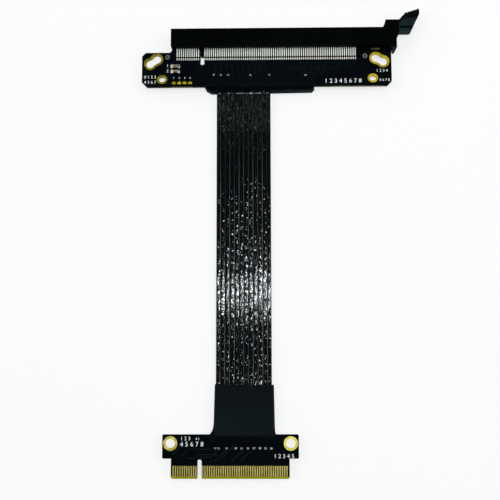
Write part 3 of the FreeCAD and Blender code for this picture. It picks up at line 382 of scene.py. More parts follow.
seam_film, tree, shader = new_finish("ribbon_seam_film", Roughness=0.45, Specular_IOR_Level=0.2)
worn = use_effect(tree, crinkle, Grain=900.0, Stretch=0.5, Lean=0.2)
place = read_place(tree)
each_seam = add_node(tree, "ShaderNodeMapping", Vector=place, Scale=(330.0, 14.0, 1.0))
paler = spread(tree, mottle(tree, each_seam.outputs[0], 1.0, Detail=2.0), 0.4, 0.62)
past_root = spread(tree, take_apart(tree, place)["Y"], -50 * MM, -80 * MM)
pale_seam = blend_colours(tree, past_root, (0.04, 0.05, 0.049), (0.22, 0.25, 0.24))
feed(shader, Base_Color=blend_colours(tree, paler, (0.012, 0.016, 0.017), pale_seam), Normal=worn["Normal"])


def new_growth(name, inputs):
    """An empty geometry tree with its named inputs and one geometry out."""
    growth = bpy.data.node_groups.new(name, "GeometryNodeTree")
    for label, kind in inputs:
        growth.interface.new_socket(label, in_out="INPUT", socket_type="NodeSocket" + kind)
    growth.interface.new_socket("Geometry", in_out="OUTPUT", socket_type="NodeSocketGeometry")
    return growth, growth.nodes.new("NodeGroupInput").outputs, growth.nodes.new("NodeGroupOutput")


def hand_out(tree, geometry, finish, end):
    """Gives the geometry that a tree has made its finish, as the tree's result."""
    painted = add_node(tree, "GeometryNodeSetMaterial", Geometry=geometry, Material=finish)
    feed(end, Geometry=painted.outputs["Geometry"])


def grow(name, growth, source, **values):
    """Runs a geometry tree on some geometry and keeps what it makes as a plain mesh."""
    holder = add_object(name + "_start", source)
    modifier = holder.modifiers.new("growth", "NODES")
    modifier.node_group = growth
    for socket in growth.interface.items_tree:
        if socket.in_out == "INPUT" and socket.name.replace(" ", "_") in values:
            modifier[socket.identifier] = values[socket.name.replace(" ", "_")]
    holder.update_tag()
    bpy.context.view_layer.update()
    made = holder.evaluated_get(bpy.context.evaluated_depsgraph_get())
    mesh = bpy.data.meshes.new_from_object(made)
    holder.modifiers.remove(modifier)
    bpy.data.objects.remove(holder)
    mesh.name = name
    return add_object(name, mesh)


SEAMS = 11

ribs, start, end = new_growth("seam_ribs", [
    ("Route", "Geometry"), ("Count", "Int"), ("Pitch", "Float"), ("Lift", "Float"), ("Radius", "Float"),
    ("Wander", "Float"), ("Finish", "Material")])
section = add_node(ribs, "GeometryNodeCurvePrimitiveCircle", Resolution=6, Radius=start["Radius"])
strand = add_node(ribs, "GeometryNodeCurveToMesh", Curve=start["Route"],
                  Profile_Curve=section.outputs["Curve"], Fill_Caps=True)
step = add_node(ribs, "ShaderNodeCombineXYZ", start["Pitch"])
leftmost = calculate(ribs, "MULTIPLY", start["Pitch"], -(SEAMS - 1) / 2)
first = add_node(ribs, "ShaderNodeCombineXYZ", leftmost, 0.0, start["Lift"])
row = add_node(ribs, "GeometryNodeMeshLine", Count=start["Count"], Start_Location=first.outputs[0],
               Offset=step.outputs[0])
placed = add_node(ribs, "GeometryNodeInstanceOnPoints", Points=row.outputs["Mesh"],
                  Instance=strand.outputs["Mesh"])
real = add_node(ribs, "GeometryNodeRealizeInstances", Geometry=placed.outputs["Instances"])
here = ribs.nodes.new("GeometryNodeInputPosition")
stray = calculate(ribs, "SUBTRACT", mottle(ribs, here.outputs[0], 85.0, Detail=2.0), 0.5)
sideways = add_node(ribs, "ShaderNodeCombineXYZ", calculate(ribs, "MULTIPLY", stray, start["Wander"]))
moved = add_node(ribs, "GeometryNodeSetPosition", Geometry=real.outputs["Geometry"],
                 Offset=sideways.outputs[0])
hand_out(ribs, moved.outputs["Geometry"], start["Finish"], end)

upper_line.data.resolution_u = 12
lower_line.data.resolution_u = 12
upper_seams = grow("ribbon_seams_upper", ribs, upper_line.data, Count=SEAMS, Pitch=CELL_PITCH,
                   Lift=0.24 * MM, Radius=0.07 * MM, Wander=0.16 * MM, Finish=seam_film)
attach(upper_seams, "extension")
lower_seams = grow("ribbon_seams_lower", ribs, lower_line.data, Count=SEAMS, Pitch=CELL_PITCH,
                   Lift=-0.22 * MM, Radius=0.12 * MM, Wander=0.16 * MM, Finish=seam_film)
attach(lower_seams, "extension")

bpy.data.objects.remove(upper_line)
bpy.data.objects.remove(lower_line)


# Moulded slot housing: glass-filled black plastic, moulded in one piece, dull with a fine
# spark-eroded skin. It is soldered to the board by its contacts and held by two clips.

DUST_SHADE = (0.03, 0.036, 0.038)

skin, start, end = new_effect("moulded_skin", [("Grain", 3000.0), ("Marks", 60.0)], ["Height", "Patches"])
place = read_place(skin)
pits = mottle(skin, place, start["Grain"], Detail=4.0, Roughness=0.7)
flow = mottle(skin, place, start["Marks"], Detail=5.0, Roughness=0.6, Distortion=0.6)
feed(end, Height=pits, Patches=spread(skin, flow, 0.35, 0.7))

dust, start, end = new_effect("settled_dust", [("Grain", 5000.0), ("Amount", 0.5)], ["Mask"])
place = read_place(dust)
specks = spread(dust, mottle(dust, place, start["Grain"], Detail=6.0, Roughness=0.8), 0.55, 0.75)
drifts = spread(dust, mottle(dust, place, 45.0, Detail=3.0), 0.35, 0.65, 0.25, 1.0)
upwards = spread(dust, take_apart(dust, read_place(dust, "Normal"))["Z"], 0.3, 0.9)
on_top = calculate(dust, "MULTIPLY", calculate(dust, "MULTIPLY", specks, drifts), upwards)
feed(end, Mask=calculate(dust, "MULTIPLY", on_top, start["Amount"]))


def skinned_finish(name, grain, marks, relief=None, **values):
    """A material with the moulded skin in it, as relief where one is given, and its patches."""
    finish, tree, shader = new_finish(name, **values)
    skinned = use_effect(tree, skin, Grain=grain, Marks=marks)
    if relief:
        raise_bumps(tree, shader, skinned["Height"], relief)
    return finish, tree, shader, skinned["Patches"]


def paint(finish, *nodes):
    """Gives CAD nodes a finish on every material slot they have."""
    for name in nodes:
        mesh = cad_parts[name].data
        for i in range(max(1, len(mesh.materials))):
            if i < len(mesh.materials):
                mesh.materials[i] = finish
            else:
                mesh.materials.append(finish)


housing_plastic, tree, shader, patches = skinned_finish(
    "housing_plastic", 4200.0, 70.0, 0.02 * MM, Specular_IOR_Level=0.012)
settled = use_effect(tree, dust, Grain=6000.0, Amount=0.04)
shades = blend_colours(tree, patches, (0.0004, 0.0009, 0.0010), (0.0009, 0.0016, 0.0018))
feed(shader, Base_Color=blend_colours(tree, settled["Mask"], shades, DUST_SHADE),
     Roughness=spread(tree, patches, 0, 1, 0.34, 0.46))
paint(housing_plastic, "slot_housing")


# Retention latch: a separate moulding of a lighter, drier plastic than the housing. It turns on
# two trunnions in the tower, and its thumb pad has ribs across.


def fade(tree, value, start, stop):
    """0 at the start and 1 at the stop, which are places in millimetres."""
    return spread(tree, value, start * MM, stop * MM)


def within(tree, value, rise, fall):
    """1 between a rise and a fall and 0 outside, each from one place to another."""
    return calculate(tree, "MULTIPLY", fade(tree, value, *rise), fade(tree, value, *fall))


PAD_SLOPE = 0.069
GROOVE = 4.85 * MM

latch_plastic, tree, shader, patches = skinned_finish(
    "latch_plastic", 3600.0, 120.0, 0.02 * MM, Roughness=0.5, Specular_IOR_Level=0.03)
settled = use_effect(tree, dust, Grain=5200.0, Amount=0.2)
shades = blend_colours(tree, patches, (0.0062, 0.0145, 0.0155), (0.0105, 0.0215, 0.0225))
where = take_apart(tree, read_place(tree))
# The end of the thumb pad, the groove and the neck are painted dark: painted shade.
past_rib = calculate(tree, "SUBTRACT", where["Y"], calculate(tree, "MULTIPLY", where["X"], PAD_SLOPE))
pad_end_painted_shade = fade(tree, past_rib, 3.95, 4.2)
in_groove = fade(tree, distance_from(tree, where["Y"], GROOVE), 0.65, 0.45)
groove_painted_shade = calculate(tree, "MULTIPLY", in_groove, fade(tree, where["X"], 72.2, 73.2))
near_neck = fade(tree, calculate(tree, "SUBTRACT", where["X"], where["Y"]), 65.9, 65.5)
shaded_neck = calculate(tree, "MULTIPLY", near_neck, fade(tree, where["Y"], 5.2, 5.6))
latch_painted_shade = calculate(tree, "MAXIMUM", calculate(tree, "MAXIMUM", pad_end_painted_shade, groove_painted_shade), shaded_neck)
dusty_latch = blend_colours(tree, settled["Mask"], shades, (0.04, 0.05, 0.05))
feed(shader, Base_Color=blend_colours(tree, latch_painted_shade, dusty_latch, (0.0012, 0.0022, 0.0026)))
paint(latch_plastic, "retention_latch")


# Spring contacts and their lands: stamped bronze strips, tin plated where they are soldered.
# The straight tails lie on the lands of the slot board, 82 on each face.

PIN_PITCH = 1.0 * MM


def off_pin(tree, across, middle):
    """How far a place is from a pin's middle, in shares of the pitch."""
    counted = calculate(tree, "ADD", calculate(tree, "DIVIDE", across, PIN_PITCH), 0.5)
    return distance_from(tree, calculate(tree, "FRACT", counted), middle)


tail_tin, tree, shader = new_finish("contact_tin", Metallic=1.0)
place = read_place(tree)
where = take_apart(tree, place)
streaks = add_node(tree, "ShaderNodeMapping", Vector=place, Scale=(2600.0, 260.0, 900.0))
drawn = mottle(tree, streaks.outputs[0], 1.0, Detail=4.0, Roughness=0.6)
bright_tin = blend_colours(tree, drawn, (0.78, 0.77, 0.72), (0.93, 0.92, 0.88))
# The rounded sides of each tail and a band at its cut tip are painted dark: painted shade.
tail_side_painted_shade = spread(tree, off_pin(tree, where["X"], 0.5), 0.15, 0.23)
tin_with_painted_shade = blend_colours(tree, tail_side_painted_shade, bright_tin, (0.06, 0.055, 0.045))
tip_painted_shade = fade(tree, where["Y"], -8.15, -8.4)
feed(shader, Base_Color=blend_colours(tree, tip_painted_shade, tin_with_painted_shade, (0.10, 0.09, 0.04)),
     Roughness=spread(tree, drawn, 0.3, 0.7, 0.35, 0.55))
raise_bumps(tree, shader, drawn, 0.02 * MM)
paint(tail_tin, "slot_contacts_front", "slot_contacts_back")

land_tin, tree, shader, patches = skinned_finish(
    "land_tin", 2600.0, 700.0, 0.03 * MM, Metallic=1.0, Roughness=0.42)
# Each land is painted dark up to just past the tail's tip, a painted shadow of the tip, and bright with
# solder beyond.
land_painted_shadow = blend_colours(tree, patches, (0.022, 0.020, 0.013), (0.055, 0.050, 0.030))
wetted_land = blend_colours(tree, patches, (0.62, 0.61, 0.52), (0.86, 0.85, 0.78))
past_tail = fade(tree, take_apart(tree, read_place(tree))["Y"], -8.9, -9.15)
feed(shader, Base_Color=blend_colours(tree, past_tail, land_painted_shadow, wetted_land))
paint(land_tin, "slot_lands_front", "slot_lands_back")

mark_low, mark_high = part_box("placement_marks")
mark_middle = (mark_low[1] + mark_high[1]) / 2
mark_half = (mark_high[1] - mark_low[1]) / 2

mark_tin, tree, shader, patches = skinned_finish(
    "placement_tin", 2600.0, 700.0, Metallic=1.0, Roughness=0.45)
where = take_apart(tree, read_place(tree))
to_left = distance_from(tree, where["X"], mark_low[0] + mark_half)
to_right = distance_from(tree, where["X"], mark_high[0] - mark_half)
beside_mark = calculate(tree, "MINIMUM", to_left, to_right)
up_mark = calculate(tree, "SUBTRACT", where["Y"], mark_middle)
squares = [calculate(tree, "MULTIPLY", side, side) for side in (beside_mark, up_mark)]
from_middle = calculate(tree, "SQRT", calculate(tree, "ADD", *squares))
rim = spread(tree, from_middle, mark_half * 0.55, mark_half * 0.8)
mark_shade = blend_colours(tree, patches, (0.16, 0.17, 0.15), (0.30, 0.31, 0.27))
feed(shader, Base_Color=blend_colours(tree, rim, (0.03, 0.035, 0.035), mark_shade))
paint(mark_tin, "placement_marks")

toe_solder, tree, shader, patches = skinned_finish(
    "solder_toe", 2600.0, 900.0, 0.02 * MM, Metallic=1.0, Roughness=0.28)
feed(shader, Base_Color=blend_colours(tree, patches, (0.66, 0.66, 0.60), (0.92, 0.92, 0.88)))

toes, start, end = new_growth("solder_toes", [
    ("Row", "Geometry"), ("Long", "Float"), ("Wide", "Float"), ("High", "Float"), ("Finish", "Material")])
drop = add_node(toes, "GeometryNodeMeshUVSphere", Segments=8, Rings=6, Radius=0.5)
size = add_node(toes, "ShaderNodeCombineXYZ", start["Wide"], start["Long"], start["High"])
shaped = add_node(toes, "GeometryNodeTransform", Geometry=drop.outputs["Mesh"], Scale=size.outputs[0])
uneven = toes.nodes.new("FunctionNodeRandomValue")
uneven.data_type = "FLOAT_VECTOR"
feed(uneven, Min=(0.9, 0.8, 0.8), Max=(1.1, 1.15, 1.2), Seed=4)
dropped = add_node(toes, "GeometryNodeInstanceOnPoints", Points=start["Row"],
                   Instance=shaped.outputs["Geometry"], Scale=uneven.outputs["Value"])
real = add_node(toes, "GeometryNodeRealizeInstances", Geometry=dropped.outputs["Instances"])
smooth = add_node(toes, "GeometryNodeSetShadeSmooth", Geometry=real.outputs["Geometry"])
hand_out(toes, smooth.outputs["Geometry"], start["Finish"], end)

PIN_PLACES = [-31.0 + i for i in range(11)] + [-18.0 + i for i in range(71)]
TOE_ROW = -9.32
land_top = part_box("slot_lands_front")[1][2]
land_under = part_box("slot_lands_back")[0][2]
for side, height in (("front", land_top), ("back", land_under)):
    points = bpy.data.meshes.new("toe_places")
    points.from_pydata([(x * MM, TOE_ROW * MM, height) for x in PIN_PLACES], [], [])
    row = grow("solder_toes_" + side, toes, points, Long=0.9 * MM, Wide=0.4 * MM, High=0.16 * MM,
               Finish=toe_solder)
    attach(row, "extension")


# Slot board and edge board: black solder mask over copper tracks on glass laminate. The mask is
# glossy; the sawn edges are dark but for two pale yellowish stretches, and the bevel is yellow.

BEVEL_TOP = (-199.30, -199.36)
PALE_EDGE_RIGHT = ((40, 42), (66, 65))
PALE_EDGE_LEFT = ((-34.2, -33.6), (-23.4, -24))

mask_and_laminate, tree, shader, patches = skinned_finish(
    "black_mask_board", 1500.0, 90.0, 0.01 * MM, Specular_IOR_Level=0.045)
place = read_place(tree)
where = take_apart(tree, place)
tilt = calculate(tree, "ABSOLUTE", take_apart(tree, read_place(tree, "Normal"))["Z"])
sawn = spread(tree, tilt, 0.985, 0.9)
layers = add_node(tree, "ShaderNodeTexWave", Vector=place, Scale=900.0, Distortion=3.0, Detail=3.0,
                  Detail_Scale=2.0)
layers.bands_direction = "Z"
fibre = blend_colours(tree, layers.outputs["Fac"], (0.10, 0.10, 0.05), (0.27, 0.25, 0.11))
settled = use_effect(tree, dust, Grain=7000.0, Amount=0.07)
mask_shade = blend_colours(tree, patches, (0.0008, 0.0020, 0.0030), (0.0016, 0.0034, 0.0048))
dusty = blend_colours(tree, settled["Mask"], mask_shade, DUST_SHADE)
# The sawn edges are dark along the board and pale yellowish only in the listed stretches.
bared = calculate(tree, "MAXIMUM", *(within(tree, where["X"], *edges) for edges in (PALE_EDGE_RIGHT, PALE_EDGE_LEFT)))
edge_tone = blend_colours(tree, bared, (0.018, 0.019, 0.014), fibre)
bare_edge = blend_colours(tree, fade(tree, where["Y"], *BEVEL_TOP), edge_tone, (0.43, 0.385, 0.002))
feed(shader, Base_Color=blend_colours(tree, sawn, dusty, bare_edge),
     Roughness=spread(tree, sawn, 0, 1, 0.1, 0.7))
paint(mask_and_laminate, "slot_board", "edge_board")


# Plated holes, header spots and edge fingers: gold over copper, thinnest at the slot board's
# left end and paler on the edge board. Each finger has a painted highlight along one line of its length.

BETWEEN_BOARDS = (-150, -160)

gold, tree, shader, patches = skinned_finish("gold_plating", 1800.0, 420.0, 0.02 * MM, Metallic=1.0)
where = take_apart(tree, read_place(tree))
thin_gold = blend_colours(tree, patches, (0.16, 0.130, 0.004), (0.35, 0.28, 0.012))
full_gold = blend_colours(tree, patches, (0.38, 0.275, 0.006), (0.60, 0.45, 0.016))
slot_gold = blend_colours(tree, fade(tree, where["X"], -36, -30), thin_gold, full_gold)
pale_gold = blend_colours(tree, patches, (0.58, 0.48, 0.07), (0.80, 0.70, 0.16))
at_edge_board = fade(tree, where["Y"], *BETWEEN_BOARDS)
feed(shader, Base_Color=blend_colours(tree, at_edge_board, slot_gold, pale_gold),
     Roughness=spread(tree, patches, 0, 1, 0.3, 0.5))
paint(gold, "large_hole_plating", "small_hole_plating", "edge_hole_plating", "header_spots")

finger_gold, tree, shader, patches = skinned_finish(
    "finger_gold", 1500.0, 300.0, 0.01 * MM, Metallic=1.0, Roughness=0.38)
# A line along each finger is painted bright: a painted highlight.
finger_painted_highlight = spread(tree, off_pin(tree, take_apart(tree, read_place(tree))["X"], 0.42), 0.24, 0.06)
gold_beside_highlight = blend_colours(tree, patches, (0.14, 0.10, 0.012), (0.28, 0.21, 0.04))
gold_in_highlight = blend_colours(tree, patches, (0.58, 0.51, 0.14), (0.84, 0.76, 0.30))
feed(shader, Base_Color=blend_colours(tree, finger_painted_highlight, gold_beside_highlight, gold_in_highlight))
paint(finger_gold, "edge_fingers_front", "edge_fingers_back")


# Chip capacitors and hold-down clips: fired ceramic bodies with tinned end caps, soldered on at
# both ends, and clips of rolled brass, dark but for a painted glint along a ragged strip at one edge.

ceramic, tree, shader, patches = skinned_finish("capacitor_ceramic", 9000.0, 900.0, 0.02 * MM, Roughness=0.45)
feed(shader, Base_Color=blend_colours(tree, patches, (0.16, 0.09, 0.012), (0.34, 0.20, 0.03)))


def soften(name, node, finish, rounding):
    """A copy of a CAD node with its edges rounded, which stands for the node."""
    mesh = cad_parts[node].data.copy()
    mesh.name = name
    shell = bmesh.new()
    shell.from_mesh(mesh)
    bmesh.ops.remove_doubles(shell, verts=shell.verts, dist=1e-6)
    bmesh.ops.dissolve_limit(shell, angle_limit=0.02, verts=shell.verts, edges=shell.edges)
    sharp = [edge for edge in shell.edges if edge.is_manifold and edge.calc_face_angle(0) > 0.5]
    bmesh.ops.bevel(shell, geom=sharp, offset=rounding, offset_type="OFFSET", segments=3, profile=0.5,
                    affect="EDGES", clamp_overlap=True)
    bmesh.ops.triangulate(shell, faces=shell.faces)
    shell.to_mesh(mesh)
    shell.free()
    mesh.materials.clear()
    mesh.materials.append(finish)
    mesh.shade_smooth()
    piece = add_object(name, mesh)
    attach(piece, "extension")
    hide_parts(node)


soften("capacitor_chips", "capacitor_bodies", ceramic, 0.08 * MM)

solder, tree, shader, patches = skinned_finish("soft_solder", 1600.0, 800.0, 0.05 * MM, Metallic=1.0)
feed(shader, Base_Color=blend_colours(tree, patches, (0.22, 0.21, 0.22), (0.46, 0.44, 0.45)),
     Roughness=spread(tree, patches, 0, 1, 0.24, 0.45))
soften("capacitor_end_caps", "capacitor_caps", solder, 0.1 * MM)
soften("capacitor_fillets", "capacitor_solder", solder, 0.16 * MM)


def ragged_edge(tree, along, pattern, reach):
    """A place along the cable, moved by a pattern by up to a reach in millimetres."""
    return calculate(tree, "ADD", along, calculate(tree, "MULTIPLY", pattern, reach * MM))


clip_metal, tree, shader, patches = skinned_finish(
    "clip_brass", 2400.0, 600.0, 0.02 * MM, Metallic=1.0, Roughness=0.4)
place = read_place(tree)
clip_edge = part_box("hold_down_clips")[0][1]
# A ragged strip at the clip's low edge is painted bright brass, a painted glint; the rest is dark.
glint_reach = ragged_edge(tree, take_apart(tree, place)["Y"], mottle(tree, place, 1300.0, Detail=3.0), 0.7)
on_painted_glint = spread(tree, glint_reach, clip_edge + 0.55 * MM, clip_edge + 0.4 * MM)
brass = blend_colours(tree, patches, (0.45, 0.33, 0.12), (0.68, 0.52, 0.22))
feed(shader, Base_Color=blend_colours(tree, on_painted_glint, (0.035, 0.027, 0.012), brass))
paint(clip_metal, "hold_down_clips")


# Foil ends and conductors: bare aluminium foil round each pair where the jacket stops, and the
# paired copper wires that slant up out of it to the back of the slot board.

FOIL_END = (-24.78, -24.9)

foil, tree, shader = new_finish("shield_foil", Metallic=1.0, Roughness=0.3)
crumpled = use_effect(tree, crinkle, Grain=1600.0, Stretch=0.7, Lean=0.6)
place = read_place(tree)
torn = mottle(tree, place, 900.0, Detail=3.0)
torn_edge = fade(tree, ragged_edge(tree, take_apart(tree, place)["Y"], torn, 0.9), *FOIL_END)
bared = calculate(tree, "MULTIPLY", torn_edge, spread(tree, torn, 0.44, 0.52))
foil_metal = blend_colours(tree, crumpled["Scuff"], (0.42, 0.43, 0.43), (0.78, 0.79, 0.79))
feed(shader, Base_Color=blend_colours(tree, bared, (0.012, 0.016, 0.018), foil_metal),
     Normal=crumpled["Normal"])
paint(foil, "foil_ends_upper", "foil_ends_lower")

copper, tree, shader, patches = skinned_finish(
    "conductor_copper", 2600.0, 500.0, 0.02 * MM, Metallic=1.0, Roughness=0.36)
feed(shader, Base_Color=blend_colours(tree, patches, (0.60, 0.30, 0.15), (0.82, 0.50, 0.32)))
paint(copper, "conductors_upper", "conductors_lower")


# Films over the ribbons' roots: dull black tape on the front, and a smooth grey-green film
# behind, whose lower edge shows below the board.

front_tape, tree, shader, patches = skinned_finish(
    "front_film_tape", 700.0, 110.0, Roughness=0.16, Specular_IOR_Level=0.04)
raise_bumps(tree, shader, patches, 0.06 * MM)
settled = use_effect(tree, dust, Grain=6500.0, Amount=0.07)
shades = blend_colours(tree, patches, (0.0008, 0.0018, 0.0028), (0.0016, 0.0032, 0.0046))
feed(shader, Base_Color=blend_colours(tree, settled["Mask"], shades, DUST_SHADE))
paint(front_tape, "front_film")

HIGHLIGHT_LINE = -23.15 * MM
HIGHLIGHT_ENDS = ((15, 17), (22.5, 21))

backing, tree, shader = new_finish("backing_film", Roughness=0.22, Specular_IOR_Level=0.3)
creased = use_effect(tree, crinkle, Grain=240.0, Stretch=1.0, Lean=0.02)
where = take_apart(tree, read_place(tree))
film_shade = blend_colours(tree, creased["Scuff"], (0.016, 0.034, 0.037), (0.028, 0.051, 0.056))
# A thin line near the film's lower edge is painted near white: a painted highlight.
near_highlight_line = fade(tree, distance_from(tree, where["Y"], HIGHLIGHT_LINE), 0.45, 0.2)
film_painted_highlight = calculate(tree, "MULTIPLY", within(tree, where["X"], *HIGHLIGHT_ENDS), near_highlight_line)
feed(shader, Base_Color=blend_colours(tree, film_painted_highlight, film_shade, (0.92, 0.96, 0.96)), Normal=creased["Normal"])
paint(backing, "backing_film")


# Edge wrap: matt black cloth tape, folded round both ribbons and pressed down on the two faces
# of the edge board, where it spreads into a small web at each side.

TAPE_MIDDLE = 0.2 * MM

wrap_cloth, tree, shader, patches = skinned_finish(
    "wrap_cloth", 900.0, 60.0, Roughness=0.62, Specular_IOR_Level=0.05)
place = read_place(tree)
where = take_apart(tree, place)
threads = []
for direction in ("X", "Y"):
    thread = add_node(tree, "ShaderNodeTexWave", Vector=place, Scale=900.0, Distortion=0.6, Detail=1.0)
    thread.bands_direction = direction
    threads.append(thread.outputs["Fac"])
raise_bumps(tree, shader, calculate(tree, "MULTIPLY", *threads), 0.03 * MM)
# Towards the board the tape is painted lighter, a painted sheen; its rolled sides and the flap are painted
# dark, painted shade.
tape_base = blend_colours(tree, patches, (0.0012, 0.0030, 0.0040), (0.0022, 0.0048, 0.0060))
tape_painted_sheen = blend_colours(tree, patches, (0.0022, 0.0058, 0.0070), (0.0038, 0.0086, 0.0098))
tape_with_painted_sheen = blend_colours(tree, fade(tree, where["Y"], -163, -179), tape_base, tape_painted_sheen)
beside = fade(tree, distance_from(tree, where["X"], TAPE_MIDDLE), 12.7, 13.1)
on_flap = fade(tree, where["Y"], -181.3, -182.2)
painted_side_and_flap_shade = calculate(tree, "MAXIMUM", beside, on_flap)
feed(shader, Base_Color=blend_colours(tree, painted_side_and_flap_shade, tape_with_painted_sheen, (0.0007, 0.0017, 0.0026)))

WRAP_MOUTH = -159.35
WRAP_LEFT = ((WRAP_MOUTH, -13.0), (-170, -13.25), (-176.5, -13.4), (-178.2, -13.6), (-179.4, -13.95),
             (-180.3, -14.4), (-180.9, -14.9), (-181.2, -15.35), (-185.4, -15.4))
WRAP_RIGHT = ((WRAP_MOUTH, 13.4), (-170, 13.6), (-178, 13.75), (-180, 13.85), (-180.8, 14.0), (-181.2, 14.3),
              (-185.4, 14.3))
WRAP_TOP = ((WRAP_MOUTH, 2.3), (-161.5, 2.5), (-165, 3.1), (-170, 3.65), (-176, 3.92), (-182.3, 3.9),
            (-183.4, 3.62), (-184.8, 3.1), (-185.4, 3.02))
WRAP_LOW = ((WRAP_MOUTH, 0.06), (-182.6, 0.06), (-183.6, 0.35), (-185, 1.0), (-185.4, 1.08))
TAPE_THICK, TAPE_WIDE = 0.14, 27
TAPE_SEAT, TAPE_SLACK, TAPE_LAP = 0.01, 0.05, 0.08
WEB_SPARE = 0.02
MOUTH_PULL, PULLED_ROWS = 0.3, 16
FLAP_PULL, FLAP_SKEW = 0.75, 0.7
BOARD_TOP, BOARD_UNDER = 2.85, 1.25
RIBBONS_END, BOARD_EDGE, FLAP_END = 12.5, -181.2, -185.4


def read_line(line, y):
    """The value of a line of (y, value) points at a place, with its corners eased."""
    total = 0.0
    for shift in (-0.6, -0.3, 0.0, 0.3, 0.6):
        goal = min(max(y + shift, line[-1][0]), line[0][0])
        for (y0, v0), (y1, v1) in zip(line, line[1:]):
            if goal >= y1:
                total += v0 + (v1 - v0) * (goal - y0) / (y1 - y0)
                break
    return total / 5


def tape_row(y, inward, joined):
    """Points of the tape's upper and lower sheet across one row, left to right, in millimetres."""
    left, right = read_line(WRAP_LEFT, y) + inward, read_line(WRAP_RIGHT, y) - inward
    top, low = read_line(WRAP_TOP, y) - inward, read_line(WRAP_LOW, y) + inward
    seats = ((top + low) / 2,) * 2
    if not joined:
        seats = (BOARD_TOP + TAPE_SEAT + TAPE_THICK - inward, BOARD_UNDER - TAPE_SEAT - TAPE_THICK + inward)
    places = []
    for edge, sign in ((left, -1), (right, 1)):
        spare = abs(edge) - RIBBONS_END
        reach = min(0.8, 0.85 * spare)
        bends = [RIBBONS_END + reach * math.sin(i * math.pi / 16) for i in range(1, 9)]
        web = [RIBBONS_END + reach + (spare - reach) * i / 4 for i in range(1, 5)]
        places.append([(sign * x, math.sqrt(max(0.0, 1 - ((x - RIBBONS_END) / reach) ** 2))
                        if x < RIBBONS_END + reach else 0.0, (abs(edge) - x) / 0.2) for x in bends + web])
    flat = [(RIBBONS_END * (-1 + i / 24), 1.0, 1.0) for i in range(49)]
    upper, lower = [], []
    for x, fullness, to_edge in places[0][::-1] + flat + places[1]:
        thinning = math.sqrt(min(1.0, max(0.0, to_edge)))
        web_half = (TAPE_THICK + WEB_SPARE - inward) * thinning if joined else 0.0
        slack = TAPE_SLACK * noise.noise(Vector((x * 0.16, y * 0.22, 3.0)))
        lap = TAPE_LAP * min(1.0, max(0.0, (x - 4) / 0.3))
        upper.append((x, seats[0] + max(fullness * (top + slack - seats[0]), web_half)))
        lower.append((x, seats[1] - max(fullness * (seats[1] - low - lap), web_half)))
    return upper, lower


mouth_rows = [WRAP_MOUTH + (BOARD_EDGE - WRAP_MOUTH) * i / 52 for i in range(53)]
flap_rows = [BOARD_EDGE - 0.05 + (FLAP_END - BOARD_EDGE + 0.05) * i / 14 for i in range(15)]
shell = bmesh.new()
skins = {}
for inward in (0.0, TAPE_THICK):
    for row, y in enumerate(mouth_rows + flap_rows):
        for face, points in zip(("upper", "lower"), tape_row(y, inward, row < len(mouth_rows))):
            made = []
            for x, z in points:
                share = x / TAPE_WIDE + 0.5
                pulled = -MOUTH_PULL * share * max(0.0, 1 - row / PULLED_ROWS)
                if row >= len(mouth_rows):
                    pulled = (FLAP_PULL - FLAP_SKEW * share) * (row - len(mouth_rows)) / (len(flap_rows) - 1)
                made.append(shell.verts.new((x * MM, (y + pulled) * MM, z * MM)))
            skins.setdefault((face, inward), []).append(made)
for rows in skins.values():
    for near, far in zip(rows, rows[1:]):
        for i in range(len(near) - 1):
            shell.faces.new((near[i], near[i + 1], far[i + 1], far[i]))
for face in ("upper", "lower"):
    outside, inside = skins[face, 0.0], skins[face, TAPE_THICK]
    for row in (0, -1):
        for i in range(len(outside[0]) - 1):
            shell.faces.new((outside[row][i], outside[row][i + 1], inside[row][i + 1], inside[row][i]))
    for row in range(len(mouth_rows) - 1, len(outside) - 1):
        for i in (0, -1):
            shell.faces.new((outside[row][i], outside[row + 1][i], inside[row + 1][i], inside[row][i]))
bmesh.ops.remove_doubles(shell, verts=shell.verts, dist=1e-7)
bmesh.ops.recalc_face_normals(shell, faces=shell.faces)
tape_mesh = bpy.data.meshes.new("edge_wrap_tape")
shell.to_mesh(tape_mesh)
shell.free()
tape_mesh.shade_smooth()
tape_mesh.materials.append(wrap_cloth)
tape = add_object("edge_wrap_tape", tape_mesh)
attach(tape, "extension")
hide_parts("edge_wrap")


# Tracks under the mask: copper lines on both boards, which the black mask follows as a faint
# relief. They run from the ribbons' roots to the lands and the edge fingers.

raised_mask, tree, shader, patches = skinned_finish(
    "raised_mask", 1500.0, 90.0, Roughness=0.25, Specular_IOR_Level=0.08)
thick_mask = blend_colours(tree, patches, (0.0030, 0.0050, 0.0060), (0.0070, 0.0095, 0.0110))
thin_mask = blend_colours(tree, patches, (0.0095, 0.0120, 0.0130), (0.0190, 0.0220, 0.0230))
at_edge_board = fade(tree, take_apart(tree, read_place(tree))["Y"], *BETWEEN_BOARDS)
feed(shader, Base_Color=blend_colours(tree, at_edge_board, thick_mask, thin_mask))

tracks, start, end = new_growth("mask_tracks", [
    ("Lines", "Geometry"), ("Wide", "Float"), ("High", "Float"), ("Finish", "Material")])
routed = add_node(tracks, "GeometryNodeMeshToCurve", Mesh=start["Lines"])
outline = add_node(tracks, "GeometryNodeCurvePrimitiveQuadrilateral", Width=start["Wide"],
                   Height=start["High"])
swept = add_node(tracks, "GeometryNodeCurveToMesh", Curve=routed.outputs["Curve"],
                 Profile_Curve=outline.outputs["Curve"], Fill_Caps=True)
real = add_node(tracks, "GeometryNodeRealizeInstances", Geometry=swept.outputs["Mesh"])
hand_out(tracks, real.outputs["Geometry"], start["Finish"], end)

